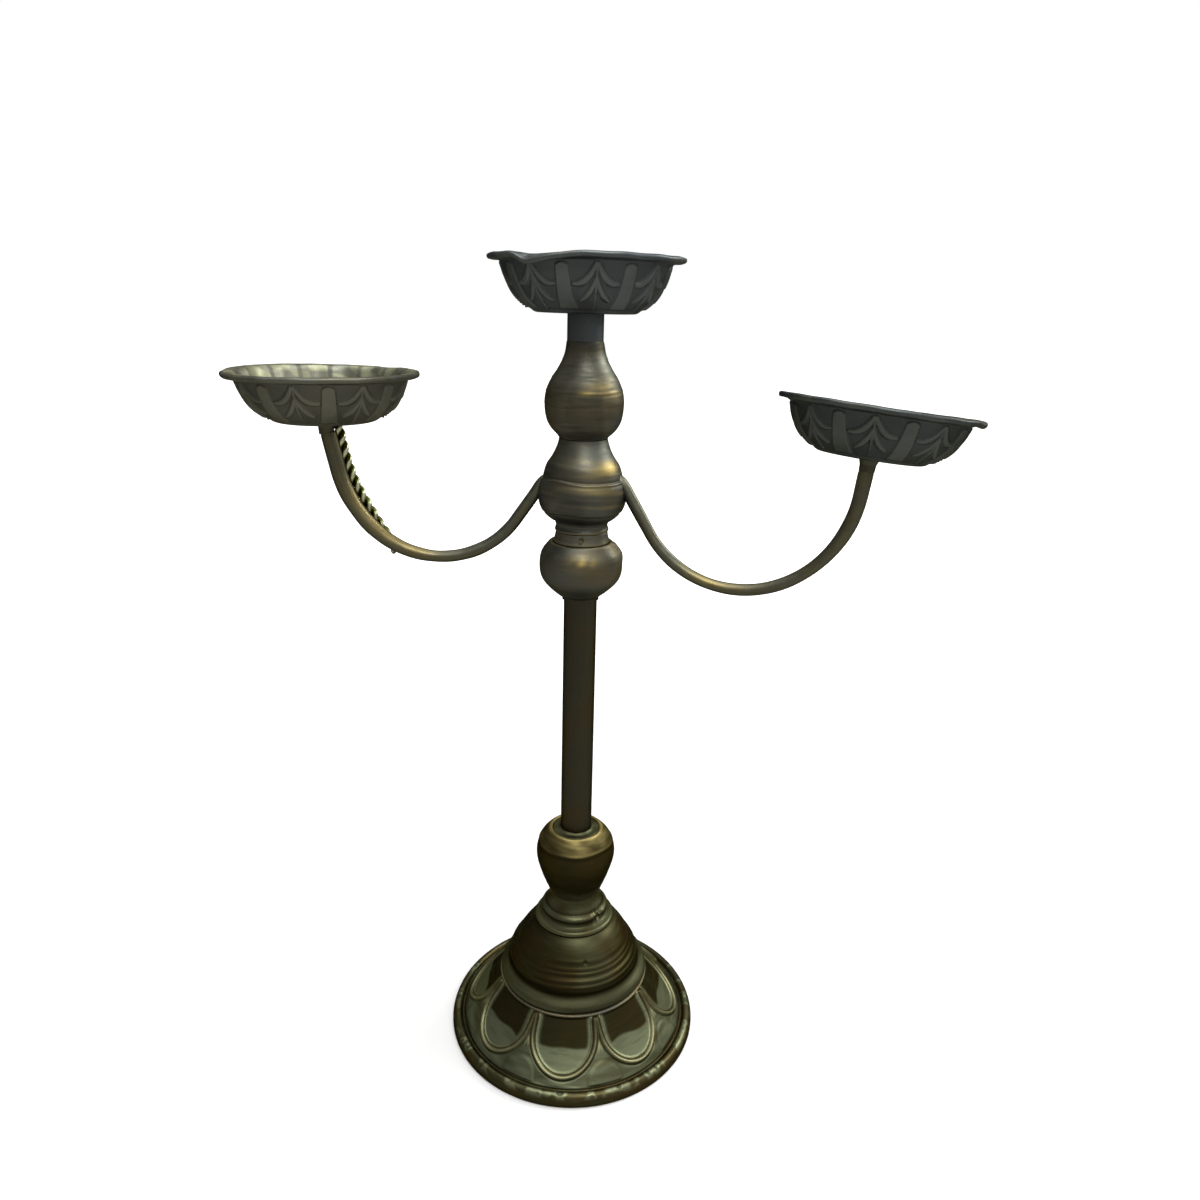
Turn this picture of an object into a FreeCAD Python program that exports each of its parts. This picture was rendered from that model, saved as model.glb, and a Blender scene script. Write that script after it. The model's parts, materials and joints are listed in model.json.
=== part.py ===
import FreeCAD, Part
import os
from math import atan2, cos, radians, sin

import Sketcher

# A brass lamp stand: a pressed foot, a column of spun knops on a tube, a hub with two bent
# arms, and three shallow pans. Millimetres, +Z up, origin at the middle of the foot's
# underside. A rod down the middle clamps the stack; the hub turns on it and so does each pan
# on its own stud.

os.makedirs("parts", exist_ok=True)
doc = FreeCAD.newDocument("lamp_stand")

# ---------------------------------------------------------------- driving dimensions

DIMENSIONS = {
    # foot and dome
    "foot_radius": 66.9,
    "foot_lip_height": 6.0,
    "foot_inner_radius": 60.8,
    "foot_top_radius": 40.0,
    "foot_height": 31.0,
    "foot_lip_round": 2.2,
    "foot_lip_dip": 0.8,
    "plate_wall": 1.4,
    "ring_radius": 39.6,
    "ring_thickness": 1.6,
    "ring_width": 6.0,
    "dome_flange_radius": 38.7,
    "dome_flange_height": 2.2,
    "dome_flange_step": 0.6,
    "dome_radius": 35.6,
    "dome_top_radius": 20.8,
    "dome_height": 32.4,
    # column
    "spun_wall": 1.2,
    "rod_radius": 3.0,
    "rod_hole": 3.2,
    "tube_radius": 8.0,
    "tube_wall": 1.2,
    "tube_gap": 0.05,
    "neck_foot_radius": 19.2,
    "neck_foot_height": 2.4,
    "neck_waist_radius": 13.3,
    "neck_height": 15.0,
    "knop_belly_radius": 20.5,
    "knop_belly_height": 24.5,
    "knop_mouth_radius": 13.2,
    "knop_height": 39.5,
    "dish_depth": 2.4,
    "dish_thickness": 1.0,
    "dish_fold": 1.2,
    "cup_base": 247.6,
    "cup_foot_radius": 9.0,
    "cup_foot_wall": 0.6,
    "cup_belly_radius": 19.8,
    "cup_belly_height": 15.6,
    "cup_mouth_radius": 14.0,
    "cup_height": 27.2,
    "cup_ring_radius": 8.8,
    "cup_ring_height": 1.4,
    "collar_radius": 12.0,
    "collar_foot_radius": 13.8,
    "collar_height": 5.2,
    "collar_cap": 1.0,
    "pin_radius": 0.8,
    "pin_proud": 0.4,
    "pin_rise": 2.9,
    "pin_gap": 0.3,
    # hub, upper knop and ferrule
    "turning_gap": 0.3,
    "bore_gap": 0.05,
    "hub_neck_radius": 12.2,
    "hub_neck_height": 5.0,
    "hub_belly_radius": 20.6,
    "hub_belly_height": 17.7,
    "hub_shoulder_radius": 14.2,
    "hub_shoulder_height": 34.6,
    "hub_top_radius": 10.9,
    "hub_height": 42.7,
    "core_drop": 0.4,
    "crown_foot_radius": 11.2,
    "crown_belly_radius": 17.8,
    "crown_belly_height": 13.7,
    "crown_shoulder_radius": 14.7,
    "crown_shoulder_height": 26.7,
    "crown_top_radius": 8.8,
    "crown_height": 38.7,
    "crown_taper_height": 35.7,
    "crown_taper": 0.4,
    "ferrule_radius": 8.1,
    "ferrule_height": 15.1,
    # pans
    "pan_radius": 43.0,
    "pan_height": 22.0,
    "top_pan_height": 24.0,
    "pan_floor_radius": 21.4,
    "pan_wall": 1.3,
    "pan_throat_radius": 37.8,
    "pan_flange_drop": 2.4,
    "pan_edge_round": 0.6,
    "pan_curve_height": 24.0,
    "left_pan_reach": 115.3,
    "left_pan_base": 328.9,
    "left_arm_angle": 183.6,
    "right_pan_reach": 125.9,
    "right_pan_base": 322.4,
    "right_arm_angle": -14.7,
    "right_pan_lean_x": 6.6,
    "right_pan_lean_y": 3.7,
    # pan seats, nuts and washers
    "seat_radius": 4.3,
    "seat_throat_radius": 3.3,
    "seat_flare": 0.2,
    "seat_flare_height": 2.4,
    "seat_depth": 6.0,
    "seat_flange": 0.6,
    "stud_radius": 2.5,
    "stud_height": 6.0,
    "washer_thickness": 0.8,
    "washer_radius": 5.8,
    "small_nut_width": 8.0,
    "small_nut_height": 3.2,
    "big_nut_width": 10.0,
    "big_nut_height": 4.6,
    "big_washer_radius": 11.0,
    "rod_tail": 7.0,
    "rod_proud": 1.0,
    "top_washer_radius": 8.0,
    "rest_gap": 0.1,
    # arms
    "arm_radius": 3.0,
    "arm_root": 5.0,
    "left_arm_height": 305.6,
    "right_arm_height": 306.9,
    "arm_root_run": 4.0,
    "left_root_bend": 13.6,
    "left_fall_angle": 55.0,
    "left_fall_run": 18.6,
    "left_sag_bend": 42.7,
    "left_sag_turn": 97.1,
    "left_rise_bend": 54.5,
    "left_rise_turn": 36.7,
    "left_rise_run": 16.5,
    "right_root_bend": 14.3,
    "right_fall_angle": 58.7,
    "right_fall_run": 21.8,
    "right_sag_bend": 47.9,
    "right_sag_turn": 91.7,
    "right_rise_bend": 54.7,
    "right_rise_turn": 50.7,
    "right_rise_run": 10.9,
    "strand_radius": 2.6,
    "strand_bend": 30.0,
}

sheet = doc.addObject("Spreadsheet::Sheet", "Sheet")
for row, (name, number) in enumerate(DIMENSIONS.items(), start=1):
    sheet.set("A%d" % row, name)
    sheet.set("B%d" % row, str(number))
    sheet.setAlias("B%d" % row, name)
doc.recompute()


class Size:
    """A length that knows both its value and the sheet expression it comes from."""

    def __init__(self, text, value):
        self.text = text
        self.value = value

    def _with(self, sign, other, value):
        return Size("(%s %s %s)" % (self.text, sign, as_size(other).text), value)

    def __add__(self, other):
        return self._with("+", other, self.value + as_size(other).value)

    def __sub__(self, other):
        return self._with("-", other, self.value - as_size(other).value)

    def __mul__(self, other):
        return self._with("*", other, self.value * as_size(other).value)

    def __truediv__(self, other):
        return self._with("/", other, self.value / as_size(other).value)

    def __neg__(self):
        return Size("(-%s)" % self.text, -self.value)


def as_size(number):
    if isinstance(number, Size):
        return number
    return Size(repr(float(number)), float(number))


def size(name):
    return Size("Sheet." + name, DIMENSIONS[name])


# ---------------------------------------------------------------- shared building steps

BODIES = []


def plane_of(body, role):
    for feature in body.Origin.OriginFeatures:
        if feature.Role == role:
            return feature


def new_body(label):
    body = doc.addObject("PartDesign::Body", label)
    body.Label = label
    BODIES.append(body)
    return body


def new_sketch(body, name, role):
    sketch = body.newObject("Sketcher::SketchObject", name)
    sketch.AttachmentSupport = [(plane_of(body, role), "")]
    sketch.MapMode = "FlatFace"
    return sketch


def bind(sketch, kind, places, length):
    """Add a dimension to a sketch and tie it to the sheet."""
    value = radians(length.value) if kind == "Angle" else length.value
    index = sketch.addConstraint(Sketcher.Constraint(kind, *places, value))
    sketch.setExpression("Constraints[%d]" % index, length.text)


def pin_point(sketch, edge, vertex, across, up):
    """Fix one sketch point by its distances from the origin."""
    for kind, length, axis in (("DistanceX", across, -2), ("DistanceY", up, -1)):
        if length.value == 0.0:
            sketch.addConstraint(Sketcher.Constraint("PointOnObject", edge, vertex, axis))
        else:
            bind(sketch, kind, (-1, 1, edge, vertex), length)


def arc_between(start, end, centre_height):
    """The short arc from start to end whose centre lies at the given height."""
    rise_start = start.y - centre_height
    rise_end = end.y - centre_height
    squares = start.x ** 2 - end.x ** 2 + rise_start ** 2 - rise_end ** 2
    centre = FreeCAD.Vector(squares / (2.0 * (start.x - end.x)), centre_height, 0)
    first = atan2(start.y - centre.y, start.x - centre.x)
    last = atan2(end.y - centre.y, end.x - centre.x)
    forward = sin(last - first) > 0
    circle = Part.Circle(centre, FreeCAD.Vector(0, 0, 1), (start - centre).Length)
    if forward:
        return Part.ArcOfCircle(circle, first, last), 1, 2
    return Part.ArcOfCircle(circle, last, first), 2, 1


def draw_outline(sketch, corners):
    """Close an outline of (radius, height) corners. A third value on a corner makes the edge
    to the next corner an arc, and is the height of that arc's centre."""
    corners = [tuple(as_size(number) for number in corner) for corner in corners]
    points = [FreeCAD.Vector(corner[0].value, corner[1].value, 0) for corner in corners]
    edges = []
    for index, corner in enumerate(corners):
        start = points[index]
        end = points[(index + 1) % len(points)]
        if len(corner) == 3:
            curve, first, last = arc_between(start, end, corner[2].value)
        else:
            curve, first, last = Part.LineSegment(start, end), 1, 2
        edges.append((sketch.addGeometry(curve, False), first, last))
    for index, corner in enumerate(corners):
        edge, first, last = edges[index]
        follower, follower_first, _ = edges[(index + 1) % len(edges)]
        sketch.addConstraint(
            Sketcher.Constraint("Coincident", edge, last, follower, follower_first))
        pin_point(sketch, edge, first, corner[0], corner[1])
        if len(corner) == 3:
            bind(sketch, "DistanceY", (-1, 1, edge, 3), corner[2])


def turned(label, corners, placement=None):
    """A body made on the lathe: an outline revolved about Z."""
    body = new_body(label)
    sketch = new_sketch(body, label + "_outline", "XZ_Plane")
    draw_outline(sketch, corners)
    revolution = body.newObject("PartDesign::Revolution", label + "_turned")
    revolution.Profile = sketch
    revolution.ReferenceAxis = (sketch, ["V_Axis"])
    revolution.Angle = 360.0
    if placement is not None:
        body.Placement = placement
    return body


def hexagon_nut(label, width, height, bore, placement):
    """A hexagonal nut standing on its own origin plane."""
    body = new_body(label)
    sketch = new_sketch(body, label + "_outline", "XY_Plane")
    reach = width.value / 2.0 / cos(radians(30.0))
    corners = []
    for step in range(6):
        angle = radians(60.0 * step)
        corners.append(FreeCAD.Vector(reach * cos(angle), reach * sin(angle), 0))
    sides = []
    for step in range(6):
        side = Part.LineSegment(corners[step], corners[(step + 1) % 6])
        sides.append(sketch.addGeometry(side, False))
    guide = Part.Circle(FreeCAD.Vector(), FreeCAD.Vector(0, 0, 1), reach)
    ring = sketch.addGeometry(guide, True)
    sketch.addConstraint(Sketcher.Constraint("Coincident", ring, 3, -1, 1))
    for step in range(6):
        sketch.addConstraint(
            Sketcher.Constraint("Coincident", sides[step], 2, sides[(step + 1) % 6], 1))
        sketch.addConstraint(Sketcher.Constraint("PointOnObject", sides[step], 1, ring))
        if step:
            sketch.addConstraint(Sketcher.Constraint("Equal", sides[0], sides[step]))
    sketch.addConstraint(Sketcher.Constraint("PointOnObject", sides[0], 1, -1))
    bind(sketch, "Radius", (ring,), width / (2.0 * cos(radians(30.0))))
    hole = sketch.addGeometry(
        Part.Circle(FreeCAD.Vector(), FreeCAD.Vector(0, 0, 1), bore.value), False)
    sketch.addConstraint(Sketcher.Constraint("Coincident", hole, 3, -1, 1))
    bind(sketch, "Radius", (hole,), bore)
    pad = body.newObject("PartDesign::Pad", label + "_pad")
    pad.Profile = sketch
    pad.setExpression("Length", height.text)
    body.Placement = placement
    return body


def at_height(height):
    return FreeCAD.Placement(FreeCAD.Vector(0, 0, height.value), FreeCAD.Rotation())


def washer(label, inner, outer, thickness, placement):
    corners = [(inner, 0), (outer, 0), (outer, thickness), (inner, thickness)]
    return turned(label, corners, placement)


# ---------------------------------------------------------------- foot and dome

zero = as_size(0)
wall = size("plate_wall")
foot_radius = size("foot_radius")
foot_lip = size("foot_lip_height")
foot_inner = size("foot_inner_radius")
foot_top = size("foot_top_radius")
foot_height = size("foot_height")
lip_round = size("foot_lip_round")
lip_dip = size("foot_lip_dip")
rod_hole = size("rod_hole")

turned("base_plate", [
    (foot_radius, zero),
    (foot_radius, foot_lip - lip_round),
    (foot_radius - lip_round, foot_lip),
    (foot_inner, foot_lip - lip_dip),
    (foot_top, foot_height),
    (rod_hole, foot_height),
    (rod_hole, foot_height - wall),
    (foot_top - lip_dip, foot_height - wall),
    (foot_inner - lip_dip, foot_lip - lip_dip - wall),
    (foot_radius - lip_round - wall / 2, foot_lip - wall),
    (foot_radius - wall, foot_lip - lip_round - wall / 2),
    (foot_radius - wall, zero),
])

ring_top = foot_height + size("ring_thickness")
ring_radius = size("ring_radius")
turned("seat_ring", [
    (ring_radius - size("ring_width"), foot_height),
    (ring_radius, foot_height),
    (ring_radius, ring_top),
    (ring_radius - size("ring_width"), ring_top),
])

spun = size("spun_wall")
flange = size("dome_flange_radius")
flange_top = ring_top + size("dome_flange_height")
dome_radius = size("dome_radius")
dome_top_radius = size("dome_top_radius")
dome_top = ring_top + size("dome_height")
dome_foot = flange_top + size("dome_flange_step")
turned("dome", [
    (flange, ring_top),
    (flange, flange_top),
    (dome_radius, dome_foot, dome_foot),
    (dome_top_radius, dome_top),
    (rod_hole, dome_top),
    (rod_hole, dome_top - spun),
    (dome_top_radius - spun, dome_top - spun, dome_foot),
    (dome_radius - spun, dome_foot),
    (dome_radius - spun, ring_top),
])

# ---------------------------------------------------------------- column

tube_bore = size("tube_radius") + size("tube_gap")
neck_height = size("neck_height")
neck_foot = size("neck_foot_radius")
waist = size("neck_waist_radius")
neck_top = dome_top + neck_height
turned("foot_neck", [
    (tube_bore, dome_top),
    (neck_foot, dome_top),
    (neck_foot, dome_top + size("neck_foot_height"), neck_top),
    (waist, neck_top),
    (tube_bore, neck_top),
])

belly = size("knop_belly_radius")
belly_level = neck_top + size("knop_belly_height")
mouth = size("knop_mouth_radius")
knop_top = neck_top + size("knop_height")
turned("foot_knop", [
    (waist, neck_top, belly_level),
    (belly, belly_level, belly_level),
    (mouth, knop_top),
    (mouth - spun, knop_top, belly_level),
    (belly - spun, belly_level, belly_level),
    (waist - spun, neck_top + spun),
    (tube_bore, neck_top + spun),
    (tube_bore, neck_top),
])
mouth_bore = mouth - spun
dish_top = knop_top - size("dish_thickness") / 2
dish_floor = knop_top - size("dish_depth")
dish_fold = mouth_bore - size("dish_fold")
turned("knop_washer", [
    (tube_bore, dish_floor - size("dish_thickness")),
    (dish_fold, dish_floor - size("dish_thickness")),
    (mouth_bore, dish_top - size("dish_thickness")),
    (mouth_bore, dish_top),
    (dish_fold, dish_floor),
    (tube_bore, dish_floor),
])

cup_base = size("cup_base")
cup_foot = size("cup_foot_radius")
cup_belly = size("cup_belly_radius")
cup_level = cup_base + size("cup_belly_height")
cup_mouth = size("cup_mouth_radius")
cup_top = cup_base + size("cup_height")
turned("cup_ring", [
    (tube_bore, cup_base - size("cup_ring_height")),
    (size("cup_ring_radius"), cup_base - size("cup_ring_height")),
    (size("cup_ring_radius"), cup_base),
    (tube_bore, cup_base),
])
turned("cup_knop", [
    (cup_foot, cup_base, cup_level),
    (cup_belly, cup_level, cup_level),
    (cup_mouth, cup_top),
    (cup_mouth - spun, cup_top, cup_level),
    (cup_belly - spun, cup_level, cup_level),
    (cup_foot - size("cup_foot_wall"), cup_base + spun),
    (tube_bore, cup_base + spun),
    (tube_bore, cup_base),
])

collar_top = cup_top + size("collar_height")
tube_top = collar_top - size("collar_cap")
collar_foot = size("collar_foot_radius")
collar_radius = size("collar_radius")
collar = turned("neck_collar", [
    (tube_bore, cup_top),
    (collar_foot, cup_top),
    (collar_radius, collar_top),
    (rod_hole, collar_top),
    (rod_hole, tube_top),
    (tube_bore, tube_top),
])

tube_radius = size("tube_radius")
turned("pole_tube", [
    (tube_radius - size("tube_wall"), dome_top),
    (tube_radius, dome_top),
    (tube_radius, tube_top),
    (tube_radius - size("tube_wall"), tube_top),
])

# A cross pin locks the collar on the tube; its hole is drilled from the front.
pin_level = cup_top + size("pin_rise")
pin_radius = size("pin_radius")


def pin_circle(body, name):
    """A circle of the pin's radius at the pin's height, on the body's XZ plane."""
    sketch = new_sketch(body, name, "XZ_Plane")
    centre = FreeCAD.Vector(0, pin_level.value, 0)
    circle = sketch.addGeometry(
        Part.Circle(centre, FreeCAD.Vector(0, 0, 1), pin_radius.value), False)
    sketch.addConstraint(Sketcher.Constraint("PointOnObject", circle, 3, -2))
    bind(sketch, "DistanceY", (-1, 1, circle, 3), pin_level)
    bind(sketch, "Radius", (circle,), pin_radius)
    return sketch


doc.recompute()
undrilled = collar.Shape.Volume
drill = collar.newObject("PartDesign::Pocket", "neck_collar_drill")
drill.Profile = pin_circle(collar, "neck_collar_hole")
drill.setExpression("Length", (collar_foot + size("pin_proud")).text)
drill.Reversed = True
doc.recompute()
if collar.Shape.Volume >= undrilled:
    raise RuntimeError("the collar's pin hole cuts nothing")

pin = new_body("collar_pin")
pin_sketch = pin_circle(pin, "collar_pin_outline")
pin_start = tube_radius + size("pin_gap")
pin_sketch.setExpression("AttachmentOffset.Base.z", pin_start.text)
pin_pad = pin.newObject("PartDesign::Pad", "collar_pin_pad")
pin_pad.Profile = pin_sketch
pin_pad.setExpression("Length", (collar_foot + size("pin_proud") - pin_start).text)

# ---------------------------------------------------------------- hub

hub_base = collar_top + size("turning_gap")
hub_top = hub_base + size("hub_height")
hub_neck = size("hub_neck_radius")
hub_neck_level = hub_base + size("hub_neck_height")
hub_belly = size("hub_belly_radius")
hub_level = hub_base + size("hub_belly_height")
hub_shoulder = size("hub_shoulder_radius")
hub_shoulder_level = hub_base + size("hub_shoulder_height")
hub_top_radius = size("hub_top_radius")
hub_shell = turned("hub_shell", [
    (hub_neck, hub_base),
    (hub_neck, hub_neck_level, hub_level),
    (hub_belly, hub_level, hub_level),
    (hub_shoulder, hub_shoulder_level),
    (hub_top_radius, hub_top),
    (hub_top_radius - spun, hub_top),
    (hub_shoulder - spun, hub_shoulder_level, hub_level),
    (hub_belly - spun, hub_level, hub_level),
    (hub_neck - spun, hub_neck_level),
    (hub_neck - spun, hub_base),
])

hub_bore = size("rod_radius") + size("bore_gap")
core_radius = hub_top_radius - spun
core_top = hub_top - size("core_drop")
core = turned("core_blank", [
    (hub_bore, hub_base),
    (core_radius, hub_base),
    (core_radius, core_top),
    (hub_bore, core_top),
])


def bent_arm(label, side, angle):
    """A round rod: out of the hub, down, round and up to the pan's seat, in one plane."""
    body = new_body(label)
    radius = size("arm_radius")
    root = size("arm_root")
    level = size(side + "_arm_height")
    path = new_sketch(body, label + "_path", "XZ_Plane")
    steps = [
        ("run", size("arm_root_run"), None),
        ("bend", size(side + "_root_bend"), -size(side + "_fall_angle")),
        ("run", size(side + "_fall_run"), None),
        ("bend", size(side + "_sag_bend"), size(side + "_sag_turn")),
        ("bend", size(side + "_rise_bend"), size(side + "_rise_turn")),
        ("run", size(side + "_rise_run"), None),
    ]
    place = FreeCAD.Vector(root.value, level.value, 0)
    heading = 0.0
    last_edge = None
    for kind, length, turn in steps:
        along = FreeCAD.Vector(cos(heading), sin(heading), 0)
        if kind == "run":
            target = place + along * length.value
            edge = path.addGeometry(Part.LineSegment(place, target), False)
            first, last = 1, 2
            bind(path, "Distance", (edge,), length)
        else:
            side_sign = 1.0 if turn.value > 0 else -1.0
            normal = FreeCAD.Vector(-sin(heading), cos(heading), 0) * side_sign
            centre = place + normal * length.value
            circle = Part.Circle(centre, FreeCAD.Vector(0, 0, 1), length.value)
            begin = atan2(place.y - centre.y, place.x - centre.x)
            heading += radians(turn.value)
            finish = begin + radians(turn.value)
            target = centre + FreeCAD.Vector(cos(finish), sin(finish), 0) * length.value
            if side_sign > 0:
                edge = path.addGeometry(Part.ArcOfCircle(circle, begin, finish), False)
                first, last = 1, 2
            else:
                edge = path.addGeometry(Part.ArcOfCircle(circle, finish, begin), False)
                first, last = 2, 1
            bind(path, "Radius", (edge,), length)
            bind(path, "Angle", (edge,), turn if side_sign > 0 else -turn)
        if last_edge is None:
            pin_point(path, edge, first, root, level)
            path.addConstraint(Sketcher.Constraint("Horizontal", edge))
        else:
            path.addConstraint(
                Sketcher.Constraint("Tangent", last_edge[0], last_edge[1], edge, first))
        last_edge = (edge, last)
        place = target
    ring = new_sketch(body, label + "_section", "YZ_Plane")
    ring.setExpression("AttachmentOffset.Base.z", root.text)
    circle = ring.addGeometry(Part.Circle(
        FreeCAD.Vector(0, level.value, 0), FreeCAD.Vector(0, 0, 1), radius.value), False)
    ring.addConstraint(Sketcher.Constraint("PointOnObject", circle, 3, -2))
    bind(ring, "DistanceY", (-1, 1, circle, 3), level)
    bind(ring, "Radius", (circle,), radius)
    doc.recompute()
    pipe = body.newObject("PartDesign::AdditivePipe", label + "_pipe")
    pipe.Profile = ring
    pipe.Spine = path
    body.Placement = FreeCAD.Placement(
        FreeCAD.Vector(), FreeCAD.Rotation(FreeCAD.Vector(0, 0, 1), angle.value))
    doc.recompute()
    print(label, "ends at reach %.2f height %.2f" % (place.x, place.y))
    return body


left_arm = bent_arm("left_arm", "left", size("left_arm_angle"))
right_arm = bent_arm("right_arm", "right", size("right_arm_angle"))


def cut_for_arms(label, blank):
    """The blank with both arms' holes cut out of it."""
    arms = doc.addObject("Part::MultiFuse", label + "_arm_pair")
    arms.Shapes = [left_arm, right_arm]
    cut = doc.addObject("Part::Cut", label)
    cut.Base = blank
    cut.Tool = arms
    cut.Label = label
    BODIES.remove(blank)
    BODIES.append(cut)


cut_for_arms("hub_core", core)
hub_shell.Label = "hub_blank"
cut_for_arms("hub_knop", hub_shell)

# ---------------------------------------------------------------- crown knop and ferrule

crown_base = hub_top + size("turning_gap")
crown_foot = size("crown_foot_radius")
crown_belly = size("crown_belly_radius")
crown_level = crown_base + size("crown_belly_height")
crown_shoulder = size("crown_shoulder_radius")
crown_shoulder_level = crown_base + size("crown_shoulder_height")
crown_neck = size("crown_top_radius")
crown_top = crown_base + size("crown_height")
crown_taper = crown_base + size("crown_taper_height")
turned("crown_knop", [
    (crown_foot, crown_base, crown_level),
    (crown_belly, crown_level, crown_level),
    (crown_shoulder, crown_shoulder_level),
    (crown_neck + size("crown_taper"), crown_taper),
    (crown_neck, crown_top),
    (rod_hole, crown_top),
    (rod_hole, crown_top - spun),
    (crown_neck - spun, crown_taper),
    (crown_shoulder - spun, crown_shoulder_level, crown_level),
    (crown_belly - spun, crown_level, crown_level),
    (crown_foot - spun, crown_base + spun),
    (rod_hole, crown_base + spun),
    (rod_hole, crown_base),
])
ferrule_top = crown_top + size("ferrule_height")
turned("top_ferrule", [
    (rod_hole, crown_top),
    (size("ferrule_radius"), crown_top),
    (size("ferrule_radius"), ferrule_top),
    (rod_hole, ferrule_top),
])

# ---------------------------------------------------------------- pans and their seats

pan_wall = size("pan_wall")
pan_radius = size("pan_radius")
pan_floor = size("pan_floor_radius")
pan_throat = size("pan_throat_radius")
pan_curve = size("pan_curve_height")
pan_round = size("pan_edge_round")


def pan(label, bore, height, placement):
    """A shallow spun pan with a flat floor and a turned-out rim."""
    flange = height - size("pan_flange_drop")
    return turned(label, [
        (bore, zero),
        (pan_floor, zero, pan_curve),
        (pan_throat, flange),
        (pan_radius - pan_round, flange),
        (pan_radius, flange + pan_round),
        (pan_radius, height - pan_round),
        (pan_radius - pan_round, height),
        (pan_throat - pan_wall + pan_round, height - pan_round),
        (pan_throat - pan_wall, flange, pan_curve),
        (pan_floor, pan_wall),
        (bore, pan_wall),
    ], placement)


rest_gap = size("rest_gap")
top_base = ferrule_top + rest_gap
top_place = at_height(top_base)
angle_left = radians(size("left_arm_angle").value)
angle_right = radians(size("right_arm_angle").value)
left_reach = size("left_pan_reach").value
right_reach = size("right_pan_reach").value
left_place = FreeCAD.Placement(
    FreeCAD.Vector(left_reach * cos(angle_left), left_reach * sin(angle_left),
                   size("left_pan_base").value),
    FreeCAD.Rotation())
lean = FreeCAD.Vector(sin(radians(size("right_pan_lean_x").value)),
                      sin(radians(size("right_pan_lean_y").value)), 1.0)
lean.z = (1.0 - lean.x ** 2 - lean.y ** 2) ** 0.5
right_place = FreeCAD.Placement(
    FreeCAD.Vector(right_reach * cos(angle_right), right_reach * sin(angle_right),
                   size("right_pan_base").value),
    FreeCAD.Rotation(FreeCAD.Vector(0, 0, 1), lean))
print("left pan", left_place.Base, "right pan", right_place.Base, "axis", lean)

pan("top_pan", hub_bore, size("top_pan_height"), top_place)
stud = size("stud_radius")
seat_radius = size("seat_radius")
seat_throat = size("seat_throat_radius")
for side, place in (("left", left_place), ("right", right_place)):
    pan(side + "_pan", stud + size("bore_gap"), size("pan_height"), place)
    seat = turned(side + "_seat_blank", [
        (zero, -size("seat_depth")),
        (seat_throat, -size("seat_depth")),
        (seat_throat + size("seat_flare"), -size("seat_flange") - size("seat_flare_height")),
        (seat_radius, -size("seat_flange")),
        (seat_radius, -rest_gap),
        (stud, -rest_gap),
        (stud, size("stud_height")),
        (zero, size("stud_height")),
    ], place)
    cut = doc.addObject("Part::Cut", side + "_seat")
    cut.Label = side + "_seat"
    cut.Base = seat
    cut.Tool = left_arm if side == "left" else right_arm
    BODIES.remove(seat)
    BODIES.append(cut)
    lifted = place.multiply(at_height(pan_wall + rest_gap))
    washer(side + "_pan_washer", stud, size("washer_radius"), size("washer_thickness"), lifted)
    lifted = lifted.multiply(at_height(size("washer_thickness")))
    hexagon_nut(side + "_pan_nut", size("small_nut_width"), size("small_nut_height"), stud,
                lifted)

# ---------------------------------------------------------------- tie rod and its fixings

rod_radius = size("rod_radius")
base_washer_top = foot_height - wall
washer_thick = size("washer_thickness")
washer("base_washer", rod_radius, size("big_washer_radius"), washer_thick,
       at_height(base_washer_top - washer_thick))
base_nut_base = base_washer_top - washer_thick - size("big_nut_height")
hexagon_nut("base_nut", size("big_nut_width"), size("big_nut_height"), rod_radius,
            at_height(base_nut_base))
top_washer_base = top_base + pan_wall + rest_gap
washer("top_washer", rod_radius, size("top_washer_radius"), washer_thick,
       at_height(top_washer_base))
top_nut_base = top_washer_base + washer_thick
hexagon_nut("top_nut", size("big_nut_width"), size("big_nut_height"), rod_radius,
            at_height(top_nut_base))
rod_base = base_nut_base - size("rod_tail")
rod_top = top_nut_base + size("big_nut_height") + size("rod_proud")
turned("tie_rod", [
    (zero, rod_base),
    (rod_radius, rod_base),
    (rod_radius, rod_top),
    (zero, rod_top),
])

# ---------------------------------------------------------------- twisted strand

# The strand runs beside the left arm, from under the pan to behind the arm's sag. Its points
# are (reach from the column, offset behind the arm, height).
STRAND_ROUTE = [
    (109.2, 0.2, 327.6),
    (106.4, 0.6, 316.0),
    (103.2, 1.2, 305.0),
    (99.4, 2.4, 295.0),
    (94.2, 4.2, 284.0),
    (89.6, 5.2, 274.0),
    (87.0, 5.0, 265.5),
]


def rounded_wire(points, radius):
    """Straight runs joined by tangent arcs."""
    edges = []
    start = points[0]
    for before, corner, after in zip(points, points[1:], points[2:]):
        arriving = (corner - before).normalize()
        leaving = (after - corner).normalize()
        half_turn = arriving.getAngle(leaving) / 2.0
        shorter = min((corner - before).Length, (after - corner).Length)
        cut_back = min(radius * (sin(half_turn) / cos(half_turn)), 0.45 * shorter)
        bend = cut_back * cos(half_turn) / sin(half_turn)
        first = corner - arriving * cut_back
        last = corner + leaving * cut_back
        centre_way = (leaving - arriving).normalize()
        middle = corner + centre_way * (bend / cos(half_turn) - bend)
        edges.append(Part.LineSegment(start, first).toShape())
        edges.append(Part.Arc(first, middle, last).toShape())
        start = last
    edges.append(Part.LineSegment(start, points[-1]).toShape())
    return Part.Wire(edges)


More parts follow.
